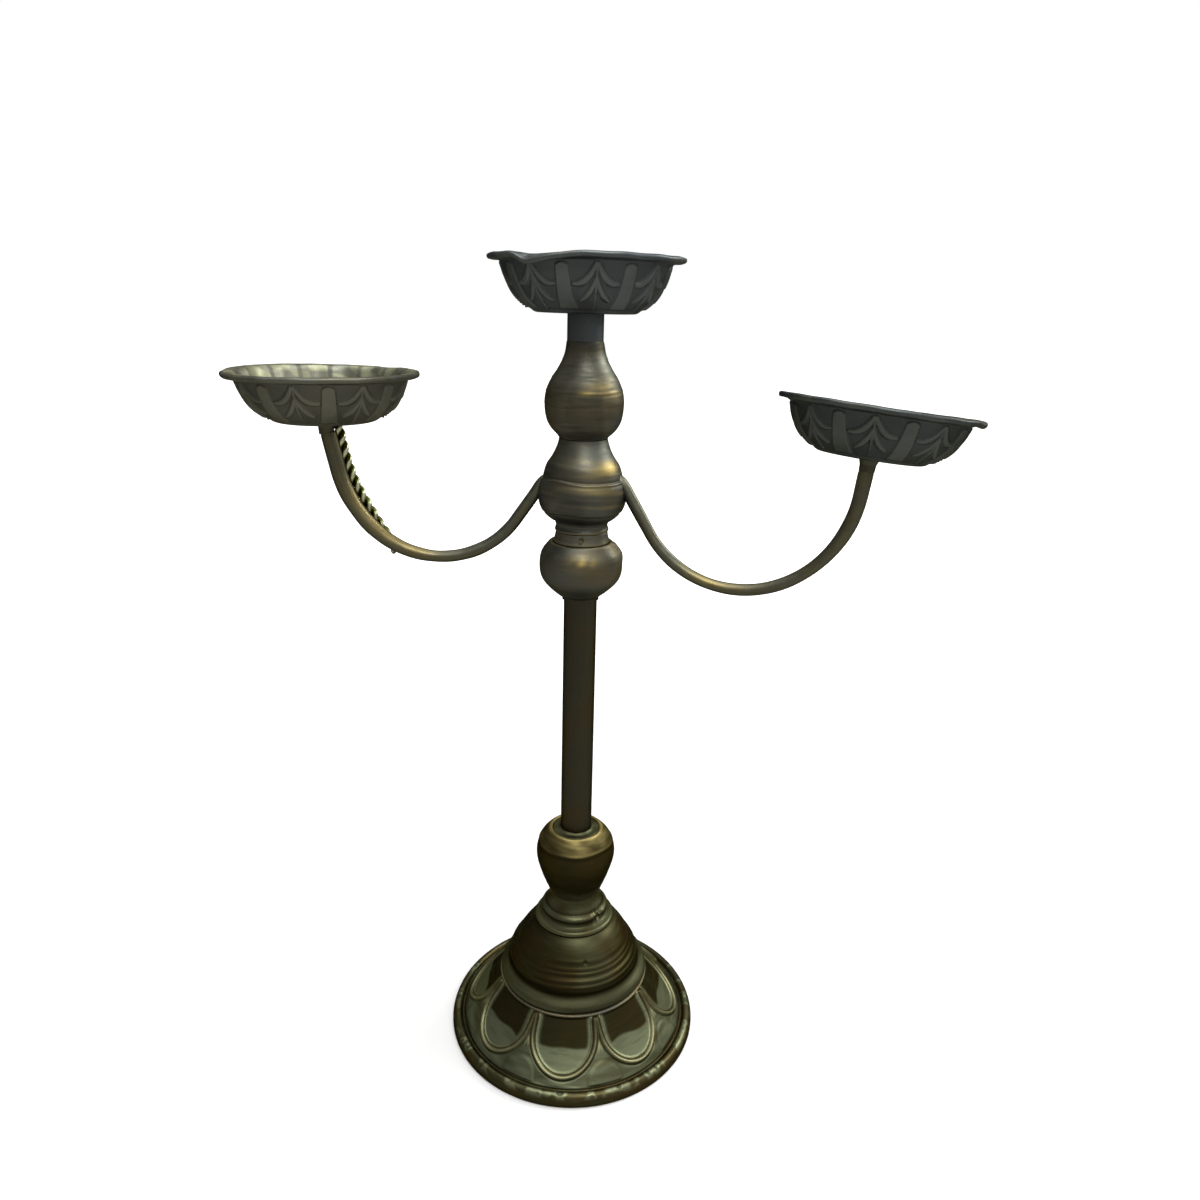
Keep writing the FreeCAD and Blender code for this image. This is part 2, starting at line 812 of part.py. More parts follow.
route = []
for reach, behind, height in STRAND_ROUTE:
    route.append(FreeCAD.Vector(
        reach * cos(angle_left) + behind * sin(angle_left),
        reach * sin(angle_left) - behind * cos(angle_left), height))
spine = rounded_wire(route, size("strand_bend").value)
section = Part.Wire(Part.Circle(
    route[0], (route[1] - route[0]).normalize(), size("strand_radius").value).toShape())
strand = doc.addObject("Part::Feature", "twisted_strand")
strand.Label = "twisted_strand"
strand.Shape = spine.makePipeShell([section], True, True)
BODIES.append(strand)

# ---------------------------------------------------------------- check and write

doc.recompute()
for item in doc.Objects:
    if "Invalid" in item.State or "Error" in item.State:
        raise RuntimeError("%s failed: %s" % (item.Label, item.State))
for body in BODIES:
    if body.Shape.isNull() or not body.Shape.isValid() or not body.Shape.Solids:
        raise RuntimeError("%s has no valid solid" % body.Label)
for body in BODIES:
    body.Shape.exportStep("parts/%s.step" % body.Label)
    print("%-16s %2d solids %10.1f mm3" % (body.Label, len(body.Shape.Solids),
                                           body.Shape.Volume))
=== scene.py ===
"""Looks of the three-branch brass lamp stand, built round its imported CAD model.

Lengths in the tables are millimetres and angles are degrees. An angle round the column starts at
the front, -Y, and grows towards the right, +X. Every new piece is a closed mesh that stands for the
CAD nodes it replaces and rides on their body.
"""

import json
import math

import bmesh
import bpy
import numpy as np
from mathutils import Matrix, Vector


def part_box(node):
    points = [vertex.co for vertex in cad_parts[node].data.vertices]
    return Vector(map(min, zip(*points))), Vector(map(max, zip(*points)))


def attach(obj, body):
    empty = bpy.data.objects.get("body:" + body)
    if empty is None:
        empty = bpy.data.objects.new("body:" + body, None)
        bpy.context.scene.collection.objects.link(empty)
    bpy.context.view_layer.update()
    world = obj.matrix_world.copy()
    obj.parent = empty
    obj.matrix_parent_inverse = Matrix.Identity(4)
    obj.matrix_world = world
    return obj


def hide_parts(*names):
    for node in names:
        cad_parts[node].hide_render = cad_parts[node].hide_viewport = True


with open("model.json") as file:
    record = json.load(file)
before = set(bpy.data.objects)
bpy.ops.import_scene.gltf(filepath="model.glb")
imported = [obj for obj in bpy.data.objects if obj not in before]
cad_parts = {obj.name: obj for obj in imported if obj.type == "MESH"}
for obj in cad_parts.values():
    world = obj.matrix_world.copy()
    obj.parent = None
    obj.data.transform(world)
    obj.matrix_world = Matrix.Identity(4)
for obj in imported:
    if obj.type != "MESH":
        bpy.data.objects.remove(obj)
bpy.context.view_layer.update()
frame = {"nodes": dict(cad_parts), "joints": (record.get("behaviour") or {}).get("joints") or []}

MM = 0.001
TURN = 2.0 * math.pi
JOINTS = {joint["name"]: joint for joint in frame["joints"]}


# ---------------- numbers

def smoothstep(low, high, value):
    """0 below low, 1 above high, and an even S between them. It falls instead if high < low."""
    share = np.clip((value - low) / (high - low), 0.0, 1.0)
    return share * share * (3.0 - 2.0 * share)


def hump(value, centre, width):
    """A smooth bump of height 1 at the centre, gone at a distance of about twice the width."""
    return np.exp(-((value - centre) / width) ** 2)


def turn_gap(angle, centre):
    """Signed degrees from the centre to the angle, the short way round."""
    return (angle - centre + 180.0) % 360.0 - 180.0


def patch(angle, level, at_angle, at_level, wide, high):
    """A soft oval spot on a turned surface: degrees wide, millimetres high."""
    return np.exp(-(turn_gap(angle, at_angle) / wide) ** 2 - ((level - at_level) / high) ** 2)


def mottle(angle, level, seed, most_turns=9, scale=0.35, waves=14):
    """Smooth noise about 0 of spread about 1, which closes on itself round the column."""
    dice = np.random.default_rng(seed)
    total = np.zeros(np.broadcast(angle, level).shape)
    for _ in range(waves):
        turns = dice.integers(-most_turns, most_turns + 1)
        pitch = dice.normal(0.0, scale)
        phase = dice.uniform(0.0, TURN)
        total = total + np.sin(np.radians(angle) * turns + level * pitch + phase)
    return total / math.sqrt(waves / 2.0)


def spline(points, steps):
    """A smooth line through the points (Catmull-Rom), with that many steps in each span."""
    points = np.array(points, float)
    padded = np.vstack([2 * points[0] - points[1], points, 2 * points[-1] - points[-2]])
    share = np.linspace(0.0, 1.0, steps, endpoint=False)[:, None]
    line = []
    for before, start, end, after in zip(padded, padded[1:], padded[2:], padded[3:]):
        line.append(0.5 * (
            2 * start + (end - before) * share
            + (2 * before - 5 * start + 4 * end - after) * share ** 2
            + (3 * start - before - 3 * end + after) * share ** 3))
    line.append(points[-1:])
    return np.vstack(line)


def evenly(line, spacing):
    """The same line with its points that far apart."""
    steps = np.linalg.norm(np.diff(line, axis=0), axis=1)
    along = np.concatenate([[0.0], np.cumsum(steps)])
    count = max(2, int(round(along[-1] / spacing)) + 1)
    places = np.linspace(0.0, along[-1], count)
    return np.stack([np.interp(places, along, column) for column in line.T], axis=1)


# ---------------- meshes

def add_object(name, data):
    thing = bpy.data.objects.new(name, data)
    bpy.context.scene.collection.objects.link(thing)
    return thing


def round_axis(radius, height, angle):
    """Points at those radii, heights and angles round the Z axis."""
    turn = np.radians(angle)
    return np.stack([radius * np.sin(turn), -radius * np.cos(turn), height], axis=-1)


def grid_mesh(name, points, paint, close_rows=True, smooth_below=40.0):
    """A mesh from a grid of points in millimetres, closed round its columns, and its rows too if
    close_rows is set. The paint is three shares per point: rubbed bright and painted highlight, grimy
    and painted shade, and green with painted light in places."""
    rows, columns = points.shape[:2]
    row = np.arange(rows if close_rows else rows - 1)[:, None]
    column = np.arange(columns)[None, :]
    next_row = (row + 1) % rows
    next_column = (column + 1) % columns
    quads = np.stack([
        row * columns + column, row * columns + next_column,
        next_row * columns + next_column, next_row * columns + column], axis=-1).reshape(-1, 4)
    mesh = bpy.data.meshes.new(name)
    mesh.vertices.add(rows * columns)
    mesh.vertices.foreach_set("co", (points.reshape(-1) * MM).astype(np.float32))
    mesh.loops.add(quads.size)
    mesh.loops.foreach_set("vertex_index", quads.reshape(-1).astype(np.int32))
    mesh.polygons.add(len(quads))
    mesh.polygons.foreach_set("loop_start", np.arange(0, quads.size, 4, dtype=np.int32))
    mesh.update(calc_edges=True)
    colours = np.ones((rows * columns, 4), np.float32)
    colours[:, :3] = np.clip(paint, 0.0, 1.0).reshape(-1, 3)
    layer = mesh.color_attributes.new("patina_and_painted_light", "FLOAT_COLOR", "POINT")
    layer.data.foreach_set("color", colours.reshape(-1))
    solid = bmesh.new()
    solid.from_mesh(mesh)
    if not close_rows:
        bmesh.ops.holes_fill(solid, edges=solid.edges)
    bmesh.ops.recalc_face_normals(solid, faces=solid.faces)
    solid.to_mesh(mesh)
    solid.free()
    mesh.polygons.foreach_set("use_smooth", np.ones(len(mesh.polygons), bool))
    mesh.set_sharp_from_angle(angle=math.radians(smooth_below))
    return add_object(name, mesh)


def settle(piece, material, body, slot, *nodes):
    """Gives the piece its material, its body and the CAD nodes that it stands for. Its slot is not
    used.
    """
    piece.data.materials.append(material)
    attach(piece, body)
    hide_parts(*nodes)


def outward(line):
    """Unit normals of a profile line in (radius, height). They point outward where the line climbs
    the outside of a turned piece."""
    along = np.gradient(line, axis=0)
    along /= np.linalg.norm(along, axis=1)[:, None] + 1e-12
    return np.stack([along[:, 1], -along[:, 0]], axis=1)


def turned(name, outer, inner, relief, paint, around, spacing):
    """A closed turned shell. The outer profile climbs the outside and the inner one comes back down
    the inside; both are (radius, height). The relief (angle, height) is added outward."""
    outside = evenly(spline(outer, 8), spacing)
    inside = np.array(inner, float)
    normals = outward(outside)
    angle = np.arange(around)[None, :] * 360.0 / around
    reach, level = outside.T[:, :, None]
    lift = relief(angle, level) + np.zeros((len(outside), around))
    fade = smoothstep(0.0, 0.06, np.linspace(0.0, 1.0, len(outside)))
    fade = (fade * fade[::-1])[:, None]
    radius = reach + lift * fade * normals[:, 0][:, None]
    height = level + lift * fade * normals[:, 1][:, None]
    radius = np.vstack([radius, np.repeat(inside[:, 0][:, None], around, 1)])
    height = np.vstack([height, np.repeat(inside[:, 1][:, None], around, 1)])
    points = round_axis(radius, height, angle)
    shades = np.zeros(points.shape)
    shades[..., 1] = 0.5
    shades[:len(outside)] = np.stack(
        [share + np.zeros(lift.shape) for share in paint(angle, level, lift)], axis=-1)
    return grid_mesh(name, points, shades)


# ---------------- materials

def new_material(name):
    material = bpy.data.materials.new(name)
    material.use_nodes = True
    nodes = material.node_tree.nodes
    nodes.clear()
    output = nodes.new("ShaderNodeOutputMaterial")
    shader = nodes.new("ShaderNodeBsdfPrincipled")
    material.node_tree.links.new(shader.outputs["BSDF"], output.inputs["Surface"])
    return material, shader


def set_sockets(node, values):
    for socket, value in values.items():
        node.inputs[socket].default_value = value


def map_range(tree, value, low, high, bottom, top):
    """The value taken smoothly from low..high to bottom..top."""
    node = tree.nodes.new("ShaderNodeMapRange")
    node.interpolation_type = "SMOOTHSTEP"
    set_sockets(node, {"From Min": low, "From Max": high, "To Min": bottom, "To Max": top})
    tree.links.new(value, node.inputs["Value"])
    return node.outputs["Result"]


def reflected_or_seen(tree, reflected, seen):
    """One shader for what lights the metal, another for what the camera sees directly."""
    ray = tree.nodes.new("ShaderNodeLightPath")
    choice = tree.nodes.new("ShaderNodeMixShader")
    tree.links.new(ray.outputs["Is Camera Ray"], choice.inputs["Fac"])
    tree.links.new(reflected, choice.inputs[1])
    tree.links.new(seen, choice.inputs[2])
    return choice.outputs["Shader"]


GOLD = (0.46, 0.35, 0.12)
EDGE_TINT = (0.30, 0.29, 0.24)
CLOUD_MM = 22.0
# How much longer the streaks are along each axis: round a turned piece, along a rod, or no way.
ROUND = (9.0, 9.0, 1.0)
ALONG = (1.0, 1.0, 12.0)
EVEN = (3.0, 3.0, 3.0)


class Patina:
    """A metal material under construction: each method adds nodes and gives back a socket."""

    def __init__(self, name):
        self.material, self.shader = new_material(name)
        self.tree = self.material.node_tree
        self.place = self.tree.nodes.new("ShaderNodeTexCoord").outputs["Object"]

    def link(self, source, target):
        self.tree.links.new(source, target)

    def noise(self, size_mm, stretch=(1.0, 1.0, 1.0), detail=4.0, roughness=0.55):
        """Noise with features of that size, and longer along an axis whose stretch is above 1."""
        mapping = self.tree.nodes.new("ShaderNodeMapping")
        mapping.inputs["Scale"].default_value = [1.0 / (size_mm * MM * s) for s in stretch]
        self.link(self.place, mapping.inputs["Vector"])
        texture = self.tree.nodes.new("ShaderNodeTexNoise")
        set_sockets(texture, {"Scale": 1.0, "Detail": detail, "Roughness": roughness})
        self.link(mapping.outputs["Vector"], texture.inputs["Vector"])
        return texture.outputs["Fac"]

    def ramp(self, value, low, high, bottom=0.0, top=1.0):
        return map_range(self.tree, value, low, high, bottom, top)

    def math(self, operation, first, second):
        node = self.tree.nodes.new("ShaderNodeMath")
        node.operation = operation
        node.use_clamp = True
        for socket, value in zip(node.inputs, (first, second)):
            if isinstance(value, float):
                socket.default_value = value
            else:
                self.link(value, socket)
        return node.outputs["Value"]

    def mix(self, share, first, second):
        node = self.tree.nodes.new("ShaderNodeMix")
        node.data_type = "RGBA"
        self.link(share, node.inputs[0])
        for socket, value in ((node.inputs[6], first), (node.inputs[7], second)):
            if isinstance(value, tuple):
                socket.default_value = (*value, 1.0)
            else:
                self.link(value, socket)
        return node.outputs[2]

    def painted(self):
        """The three painted shares: rubbed bright and painted highlight, grimy and painted shade, and
        green with painted light in places.
        """
        attribute = self.tree.nodes.new("ShaderNodeAttribute")
        attribute.attribute_name = "patina_and_painted_light"
        split = self.tree.nodes.new("ShaderNodeSeparateColor")
        self.link(attribute.outputs["Color"], split.inputs["Color"])
        return split.outputs["Red"], split.outputs["Green"], split.outputs["Blue"]

    def bump(self, height, depth_mm, strength, under=None):
        node = self.tree.nodes.new("ShaderNodeBump")
        set_sockets(node, {"Strength": strength, "Distance": depth_mm * MM})
        self.link(height, node.inputs["Height"])
        if under is not None:
            self.link(under, node.inputs["Normal"])
        return node.outputs["Normal"]

    def finish(self, colour, roughness, normal):
        self.link(colour, self.shader.inputs["Base Color"])
        self.link(roughness, self.shader.inputs["Roughness"])
        self.link(normal, self.shader.inputs["Normal"])
        set_sockets(self.shader, {"Metallic": 1.0, "Specular Tint": (*EDGE_TINT, 1.0)})
        return self.material


def aged_brass(name, dark, brown, gold, green, streak=ROUND, streaking=0.22, gloss=0.40,
               painted=True):
    """Brass under a dark skin: brown clouds, fine streaks, gold where it is rubbed and where a
    highlight is painted, pale green dust and painted light, and darker grime and painted shade. Gloss
    is the roughness of the clean skin."""
    metal = Patina(name)
    streaks = metal.noise(1.3, streak, detail=3.0)
    clouds = metal.noise(CLOUD_MM, detail=2.0)
    specks = metal.noise(0.6, detail=5.0, roughness=0.7)
    skin = metal.mix(metal.ramp(clouds, 0.42, 0.60), dark, brown)
    skin = metal.mix(metal.ramp(streaks, 0.45, 0.70, 0.0, streaking), skin, green)
    dull = metal.ramp(specks, 0.45, 0.80, 0.0, 0.08)
    if painted:
        bright, grime_and_shade, dust_and_light = metal.painted()
        uneven = metal.ramp(metal.math("MULTIPLY", streaks, specks), 0.12, 0.32, 0.72, 1.0)
        skin = metal.mix(metal.math("MULTIPLY", dust_and_light, uneven), skin, green)
        skin = metal.mix(metal.math("MULTIPLY", bright, uneven), skin, gold)
        skin = metal.mix(grime_and_shade, skin, tuple(0.30 * part for part in dark))
        dull = metal.math("ADD", dull, metal.math("MULTIPLY", grime_and_shade, 0.15))
    roughness = metal.math("ADD", metal.ramp(streaks, 0.3, 0.7, gloss - 0.05, gloss + 0.06), dull)
    normal = metal.bump(streaks, 0.05, 0.35)
    normal = metal.bump(specks, 0.02, 0.35, under=normal)
    return metal.finish(skin, roughness, normal)


foot_brass = aged_brass("foot_brass", (0.048, 0.044, 0.018), (0.060, 0.044, 0.016),
                        (0.40, 0.40, 0.22), (0.165, 0.185, 0.110), streaking=0.10, gloss=0.42)
dome_brass = aged_brass("dome_brass", (0.044, 0.039, 0.014), (0.054, 0.038, 0.015),
                        (0.32, 0.29, 0.14), (0.105, 0.112, 0.062), streaking=0.16, gloss=0.42)
column_brass = aged_brass("column_brass", (0.104, 0.106, 0.090), (0.112, 0.100, 0.070),
                          GOLD, (0.160, 0.168, 0.140), gloss=0.46)
tube_brass = aged_brass("tube_brass", (0.052, 0.050, 0.034), (0.060, 0.048, 0.026),
                        GOLD, (0.075, 0.073, 0.050), streak=ALONG, gloss=0.42, painted=False)
slate_brass = aged_brass("slate_brass", (0.086, 0.098, 0.104), (0.092, 0.100, 0.100),
                         GOLD, (0.115, 0.128, 0.130), gloss=0.45, painted=False)
pan_brass = aged_brass("pan_brass", (0.096, 0.110, 0.120), (0.104, 0.114, 0.118),
                       (0.44, 0.46, 0.30), (0.180, 0.198, 0.200), streak=EVEN, gloss=0.46)
left_pan_brass = aged_brass("left_pan_brass", (0.130, 0.134, 0.112), (0.140, 0.136, 0.104),
                            (0.42, 0.43, 0.27), (0.240, 0.245, 0.200), streak=EVEN, gloss=0.48)
right_pan_brass = aged_brass("right_pan_brass", (0.076, 0.086, 0.088), (0.082, 0.090, 0.086),
                             (0.44, 0.46, 0.30), (0.160, 0.176, 0.166), streak=EVEN, gloss=0.46)
arm_brass = aged_brass("arm_brass", (0.125, 0.124, 0.086), (0.140, 0.126, 0.074),
                       GOLD, (0.190, 0.194, 0.155), streak=EVEN, gloss=0.42)
rod_brass = aged_brass("rod_brass", (0.080, 0.078, 0.054), (0.090, 0.084, 0.052),
                       GOLD, (0.120, 0.120, 0.090), streak=EVEN, painted=False)
knop_brass = aged_brass("knop_brass", (0.054, 0.045, 0.017), (0.066, 0.050, 0.016),
                        (0.36, 0.29, 0.11), (0.125, 0.132, 0.075), streaking=0.12, gloss=0.44)
# The strand's near-white gold is the colour of its painted highlights.
strand_brass = aged_brass("strand_brass", (0.130, 0.130, 0.040), (0.150, 0.100, 0.045),
                          (0.80, 0.78, 0.55), (0.20, 0.25, 0.06), streak=EVEN, gloss=0.24)
plain_brass = aged_brass("plain_brass", (0.20, 0.16, 0.08), (0.26, 0.20, 0.10),
                         GOLD, (0.16, 0.17, 0.11), streak=EVEN, painted=False)
fixing_steel = aged_brass("fixing_steel", (0.26, 0.26, 0.25), (0.32, 0.30, 0.28),
                          GOLD, (0.25, 0.24, 0.23), streak=EVEN, painted=False)

CARRIED = {
    "pole_tube": tube_brass, "cup_ring": tube_brass, "top_ferrule": slate_brass,
    "left_seat": rod_brass, "right_seat": rod_brass,
    "hub_core": plain_brass, "collar_pin": plain_brass,
    "top_washer": plain_brass, "left_pan_washer": plain_brass, "right_pan_washer": plain_brass,
    "top_nut": plain_brass, "left_pan_nut": plain_brass, "right_pan_nut": plain_brass,
    "tie_rod": fixing_steel, "base_washer": fixing_steel, "base_nut": fixing_steel,
}
for node, material in CARRIED.items():
    materials = frame["nodes"][node].data.materials
    materials.clear()
    materials.append(material)


# ---------------- foot

PETALS = 8
PETAL_START = 4.0          # degrees from the front to the front petal's middle, towards the left
RING_RADIUS = 40.0
RING_LEVEL = 31.0
GROOVE_RADIUS = 60.0
GROOVE_LEVEL = 5.6

foot_low, foot_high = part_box("base_plate")
foot_radius = foot_high.x / MM

foot_collar = np.array([(3.6, 31.0), (36.0, 31.0), (39.2, 30.95)])
foot_slope = np.linspace((RING_RADIUS, RING_LEVEL - 0.3), (GROOVE_RADIUS, GROOVE_LEVEL), 130)
foot_rim = evenly(spline([
    (GROOVE_RADIUS, GROOVE_LEVEL), (60.6, 4.7), (61.5, 4.7), (62.2, 5.6), (63.1, 6.35),
    (64.1, 6.45), (65.1, 6.0), (66.0, 5.0), (66.6, 3.8), (foot_radius, 2.4),
    (foot_radius, 1.0), (66.6, 0.15), (66.0, 0.0)], 8), 0.22)
foot_under = np.array([
    (65.4, 0.0), (65.3, 2.6), (64.2, 4.3), (62.4, 3.4), (60.0, 3.2), (58.8, 4.6),
    (39.2, 29.4), (38.4, 29.6), (20.0, 29.6), (3.6, 29.6)])
foot_line = np.vstack([foot_collar, foot_slope, foot_rim[1:], foot_under])

slope_length = float(np.linalg.norm(foot_slope[-1] - foot_slope[0]))
FOOT_AROUND = 1080
PETAL_MIDDLE = 11.0        # where the petal's straight sides end, down the slope
PETAL_END = 16.6           # radius of its round end
PETAL_HALF = 15.5          # half its width at the dome
GAP_PETAL = 9.2            # radius of the low leaf pressed in each gap between two petals


def petal_distance(across, down):
    """Distance from the petal's outline, below 0 inside. The petal is a U whose open end is under
    the dome: across and down are millimetres from the middle of that end."""
    side = PETAL_HALF + (PETAL_END - PETAL_HALF) * smoothstep(0.0, PETAL_MIDDLE, down)
    straight = np.abs(across) - side
    rounded = np.hypot(across, down - PETAL_MIDDLE) - PETAL_END
    return np.where(down < PETAL_MIDDLE, straight, rounded)


def foot_relief(angle, down, radius):
    """Outward lift on the foot's slope, and its paint: a beaded, spooned petal with a painted shadow
    over its upper part and its lower part painted pale green as lit, and a low leaf in each gap."""
    pitch = 360.0 / PETALS
    off_petal = (angle + PETAL_START + pitch / 2) % pitch - pitch / 2
    off_gap = (angle + PETAL_START) % pitch - pitch / 2
    across = np.radians(off_petal) * radius
    edge = petal_distance(across, down)
    inside = smoothstep(-1.0, -2.6, edge)
    bead = hump(edge, 0.0, 1.25)
    lip = hump(edge, -1.95, 0.40)
    groove = hump(edge, -1.35, 0.35) + hump(edge, 1.65, 0.5)
    into = np.clip(-edge / PETAL_END, 0.0, 1.0)
    spoon = 1.1 * into * (2.0 - into) * inside
    gap_across = np.radians(off_gap) * radius
    under_edge = np.hypot(gap_across / 0.95, (down - slope_length) / 1.15) - GAP_PETAL
    under_petal = smoothstep(1.3, -1.3, under_edge) * smoothstep(0.8, 1.8, edge)
    outside = smoothstep(0.6, 1.6, edge)
    lift = 1.20 * bead + 0.25 * lip - 0.35 * groove - spoon + 0.28 * under_petal * outside
    lift = lift - 0.04 * hump(under_edge, 0.9, 1.0) * outside
    lift = lift + 0.06 * mottle(angle, down, 11, 24, 0.5) * outside
    # Painted shadow: shade_line bounds a shadow painted on each petal's upper part (upper, darkened);
    # below it the petal is painted pale green as lit (lower).
    shade_line = 13.4 + 0.5 * mottle(angle, down, 5, 24, 0.12) + 0.010 * across ** 2
    upper = smoothstep(-2.6, -5.0, edge) * smoothstep(shade_line + 0.9, shade_line - 0.9, down)
    lower = inside * (1.0 - upper)
    facets = hump(edge, 2.2, 1.0) * smoothstep(1.6, 0.8, np.abs(gap_across)) * outside
    wear_and_highlight = 0.50 * bead * smoothstep(4.0, 22.0, down) + 0.30 * lip + 0.8 * facets + 0.14 * bead
    grime_and_shade = 0.60 * groove + 0.66 * upper + 0.18 * hump(under_edge, 0.9, 0.7) * outside
    green = 0.95 * lower + outside * (0.66 + 0.25 * mottle(angle, down, 7, 20, 0.5))
    return lift, wear_and_highlight, grime_and_shade, green


def build_foot():
    angle = np.arange(FOOT_AROUND)[None, :] * 360.0 / FOOT_AROUND
    rows = len(foot_line)
    radius = np.repeat(foot_line[:, 0][:, None], FOOT_AROUND, 1)
    height = np.repeat(foot_line[:, 1][:, None], FOOT_AROUND, 1)
    paint = np.zeros((rows, FOOT_AROUND, 3))
    paint[..., 1] = 0.4
    normals = -outward(foot_line)
    first = len(foot_collar)
    last = first + len(foot_slope)
    down = np.linspace(0.0, slope_length, len(foot_slope))[:, None]
    lift, wear_and_highlight, grime_and_shade, green = foot_relief(angle, down, foot_slope[:, 0][:, None])
    fade = smoothstep(0.0, 0.8, down) * smoothstep(slope_length, slope_length - 1.0, down)
    slope_normal = normals[first + 20]      # the slope is straight, so any row inside it will do
    radius[first:last] += lift * fade * slope_normal[0]
    height[first:last] += lift * fade * slope_normal[1]
    paint[first:last] = np.stack([wear_and_highlight, grime_and_shade, green], axis=-1)
    end = last + len(foot_rim) - 1
    rim = foot_line[last:end]
    level = rim[:, 1][:, None]
    reach = rim[:, 0][:, None]
    dents = mottle(angle, level, 21, 34, 0.8) + 0.6 * mottle(angle, level, 22, 90, 0.3)
    crest = hump(reach, 64.3, 2.2) * smoothstep(3.4, 5.4, level)
    pits = smoothstep(1.5, 2.1, dents) * crest
    # The crest is rubbed in patches and painted brighter towards the front as a highlight.
    rubbed_and_lit = smoothstep(-0.2, 1.1, dents + 0.9 * np.cos(np.radians(angle - 10.0)) - 0.35)
    height[last:end] += -0.30 * pits + 0.05 * dents * crest
    groove = hump(reach, 60.9, 0.8)
    skirt = smoothstep(65.4, 66.6, reach)
    paint[last:end] = np.stack([
        crest * 0.26 * rubbed_and_lit - pits,
        0.25 * groove + 0.5 * pits + 0.10 * skirt * smoothstep(3.5, 1.0, level),
        crest * (0.15 + 0.75 * rubbed_and_lit)], axis=-1)
    foot = grid_mesh("petal_foot", round_axis(radius, height, angle), paint)
    settle(foot, foot_brass, "column", "foot_brass", "base_plate")


build_foot()


def thread_line(angle, level, lift):
    """A thin dull gold line, brighter in places."""
    return 0.12 + 0.12 * mottle(angle, level, 25, 8, 0.0), 0.2, 0.2


settle(turned(
           "seat_ring_bead",
           [(39.6, 31.0), (40.2, 31.2), (40.3, 31.6), (40.0, 32.1), (39.0, 32.4)],
           [(34.0, 32.6), (34.0, 31.0)],
           lambda angle, level: 0.0, thread_line, around=360, spacing=0.25),
       column_brass, "column", "foot_brass", "seat_ring")


# ---------------- dome and neck

DOME_LINE = [
    (36.6, 32.65), (38.8, 32.7), (39.7, 33.4), (39.7, 34.6), (39.1, 36.0), (38.0, 37.3),
    (36.7, 38.6), (35.8, 39.8), (35.4, 41.0), (35.3, 42.4), (34.8, 44.2), (33.7, 47.0),
    (31.7, 50.0), (30.0, 53.0), (28.2, 56.0), (26.0, 59.0), (23.6, 62.0), (21.4, 64.3),
    (20.9, 64.9)]
DOME_INSIDE = [
    (19.6, 64.6), (22.6, 61.0), (27.2, 55.2), (32.4, 46.6), (34.0, 42.0), (34.0, 38.4),
    (35.6, 36.4), (36.0, 33.2)]
DOME_RIDGES = ((44.5, 0.30), (47.2, 0.26), (50.3, 0.30), (52.3, 0.22), (55.5, 0.10), (41.6, 0.12))


def dome_relief(angle, level):
    wander = 0.5 * mottle(angle, level, 31, 3, 0.05)
    lift = 0.12 * mottle(angle, level, 32, 3, 0.1)
    strength = 0.6 + 0.4 * np.sin(np.radians(angle * 2 + 35))
    for place, depth in DOME_RIDGES:
        lift = lift + depth * strength * hump(level + wander, place, 0.7)
        lift = lift - 0.6 * depth * strength * hump(level + wander, place - 1.5, 0.6)
    lift = lift - 0.8 * patch(angle, level, 14.0, 55.3, 1.6, 0.7)
    return lift


def dome_paint(angle, level, lift):
    cloud = mottle(angle, level, 33, 5, 0.12)
    # Painted light: lip is a pale highlight band on the rolled lip, hollow a dark reflection painted
    # in the hollow above it, and lit the side facing the key light, painted paler and less darkened
    # than the rest.
    lip = smoothstep(40.6, 38.6, level) * smoothstep(32.6, 33.6, level)
    hollow = hump(level, 41.6, 1.6)
    top = smoothstep(58.0, 64.0, level)
    lit = smoothstep(-80.0, 10.0, turn_gap(angle, 20.0)) * smoothstep(150.0, 60.0, np.abs(
        turn_gap(angle, 20.0)))
    wear_and_highlight = 0.10 * smoothstep(0.1, 0.3, lift) + 0.12 * patch(angle, level, 26.0, 60.5, 9.0, 1.2)
    grime_and_shade = 0.70 * hollow + 0.45 * smoothstep(-0.02, -0.16, lift) + 0.30 * (1 - lip) * (1 - lit)
    green = 0.80 * lip + (0.10 + 0.22 * lit) * smoothstep(0.0, 1.5, cloud) + 0.35 * top
    return wear_and_highlight, grime_and_shade, green


settle(turned("spun_dome", DOME_LINE, DOME_INSIDE, dome_relief, dome_paint, around=480,
              spacing=0.22),
       dome_brass, "column", "foot_brass", "dome")

NECK_LINE = [
    (19.6, 65.0), (20.7, 65.4), (21.0, 66.4), (20.3, 67.4), (18.9, 67.9), (17.6, 68.6),
    (16.9, 69.8), (16.8, 70.9), (17.3, 71.9), (17.4, 73.0), (16.6, 73.9), (15.7, 74.5),
    (15.1, 75.3), (14.7, 76.3), (14.0, 77.6), (13.5, 79.0), (13.3, 79.9)]
NECK_NOTCH = 48.0
NOTCH_LEVEL = 72.4


def neck_crumple(angle, level):
    return mottle(angle, level, 41, 40, 1.3)


def neck_relief(angle, level):
    notch = patch(angle, level, NECK_NOTCH, NOTCH_LEVEL, 9.0, 2.2)
    crumple = neck_crumple(angle, level)
    return 0.10 * mottle(angle, level, 42, 4, 0.3) - notch * (1.3 + 0.5 * crumple)


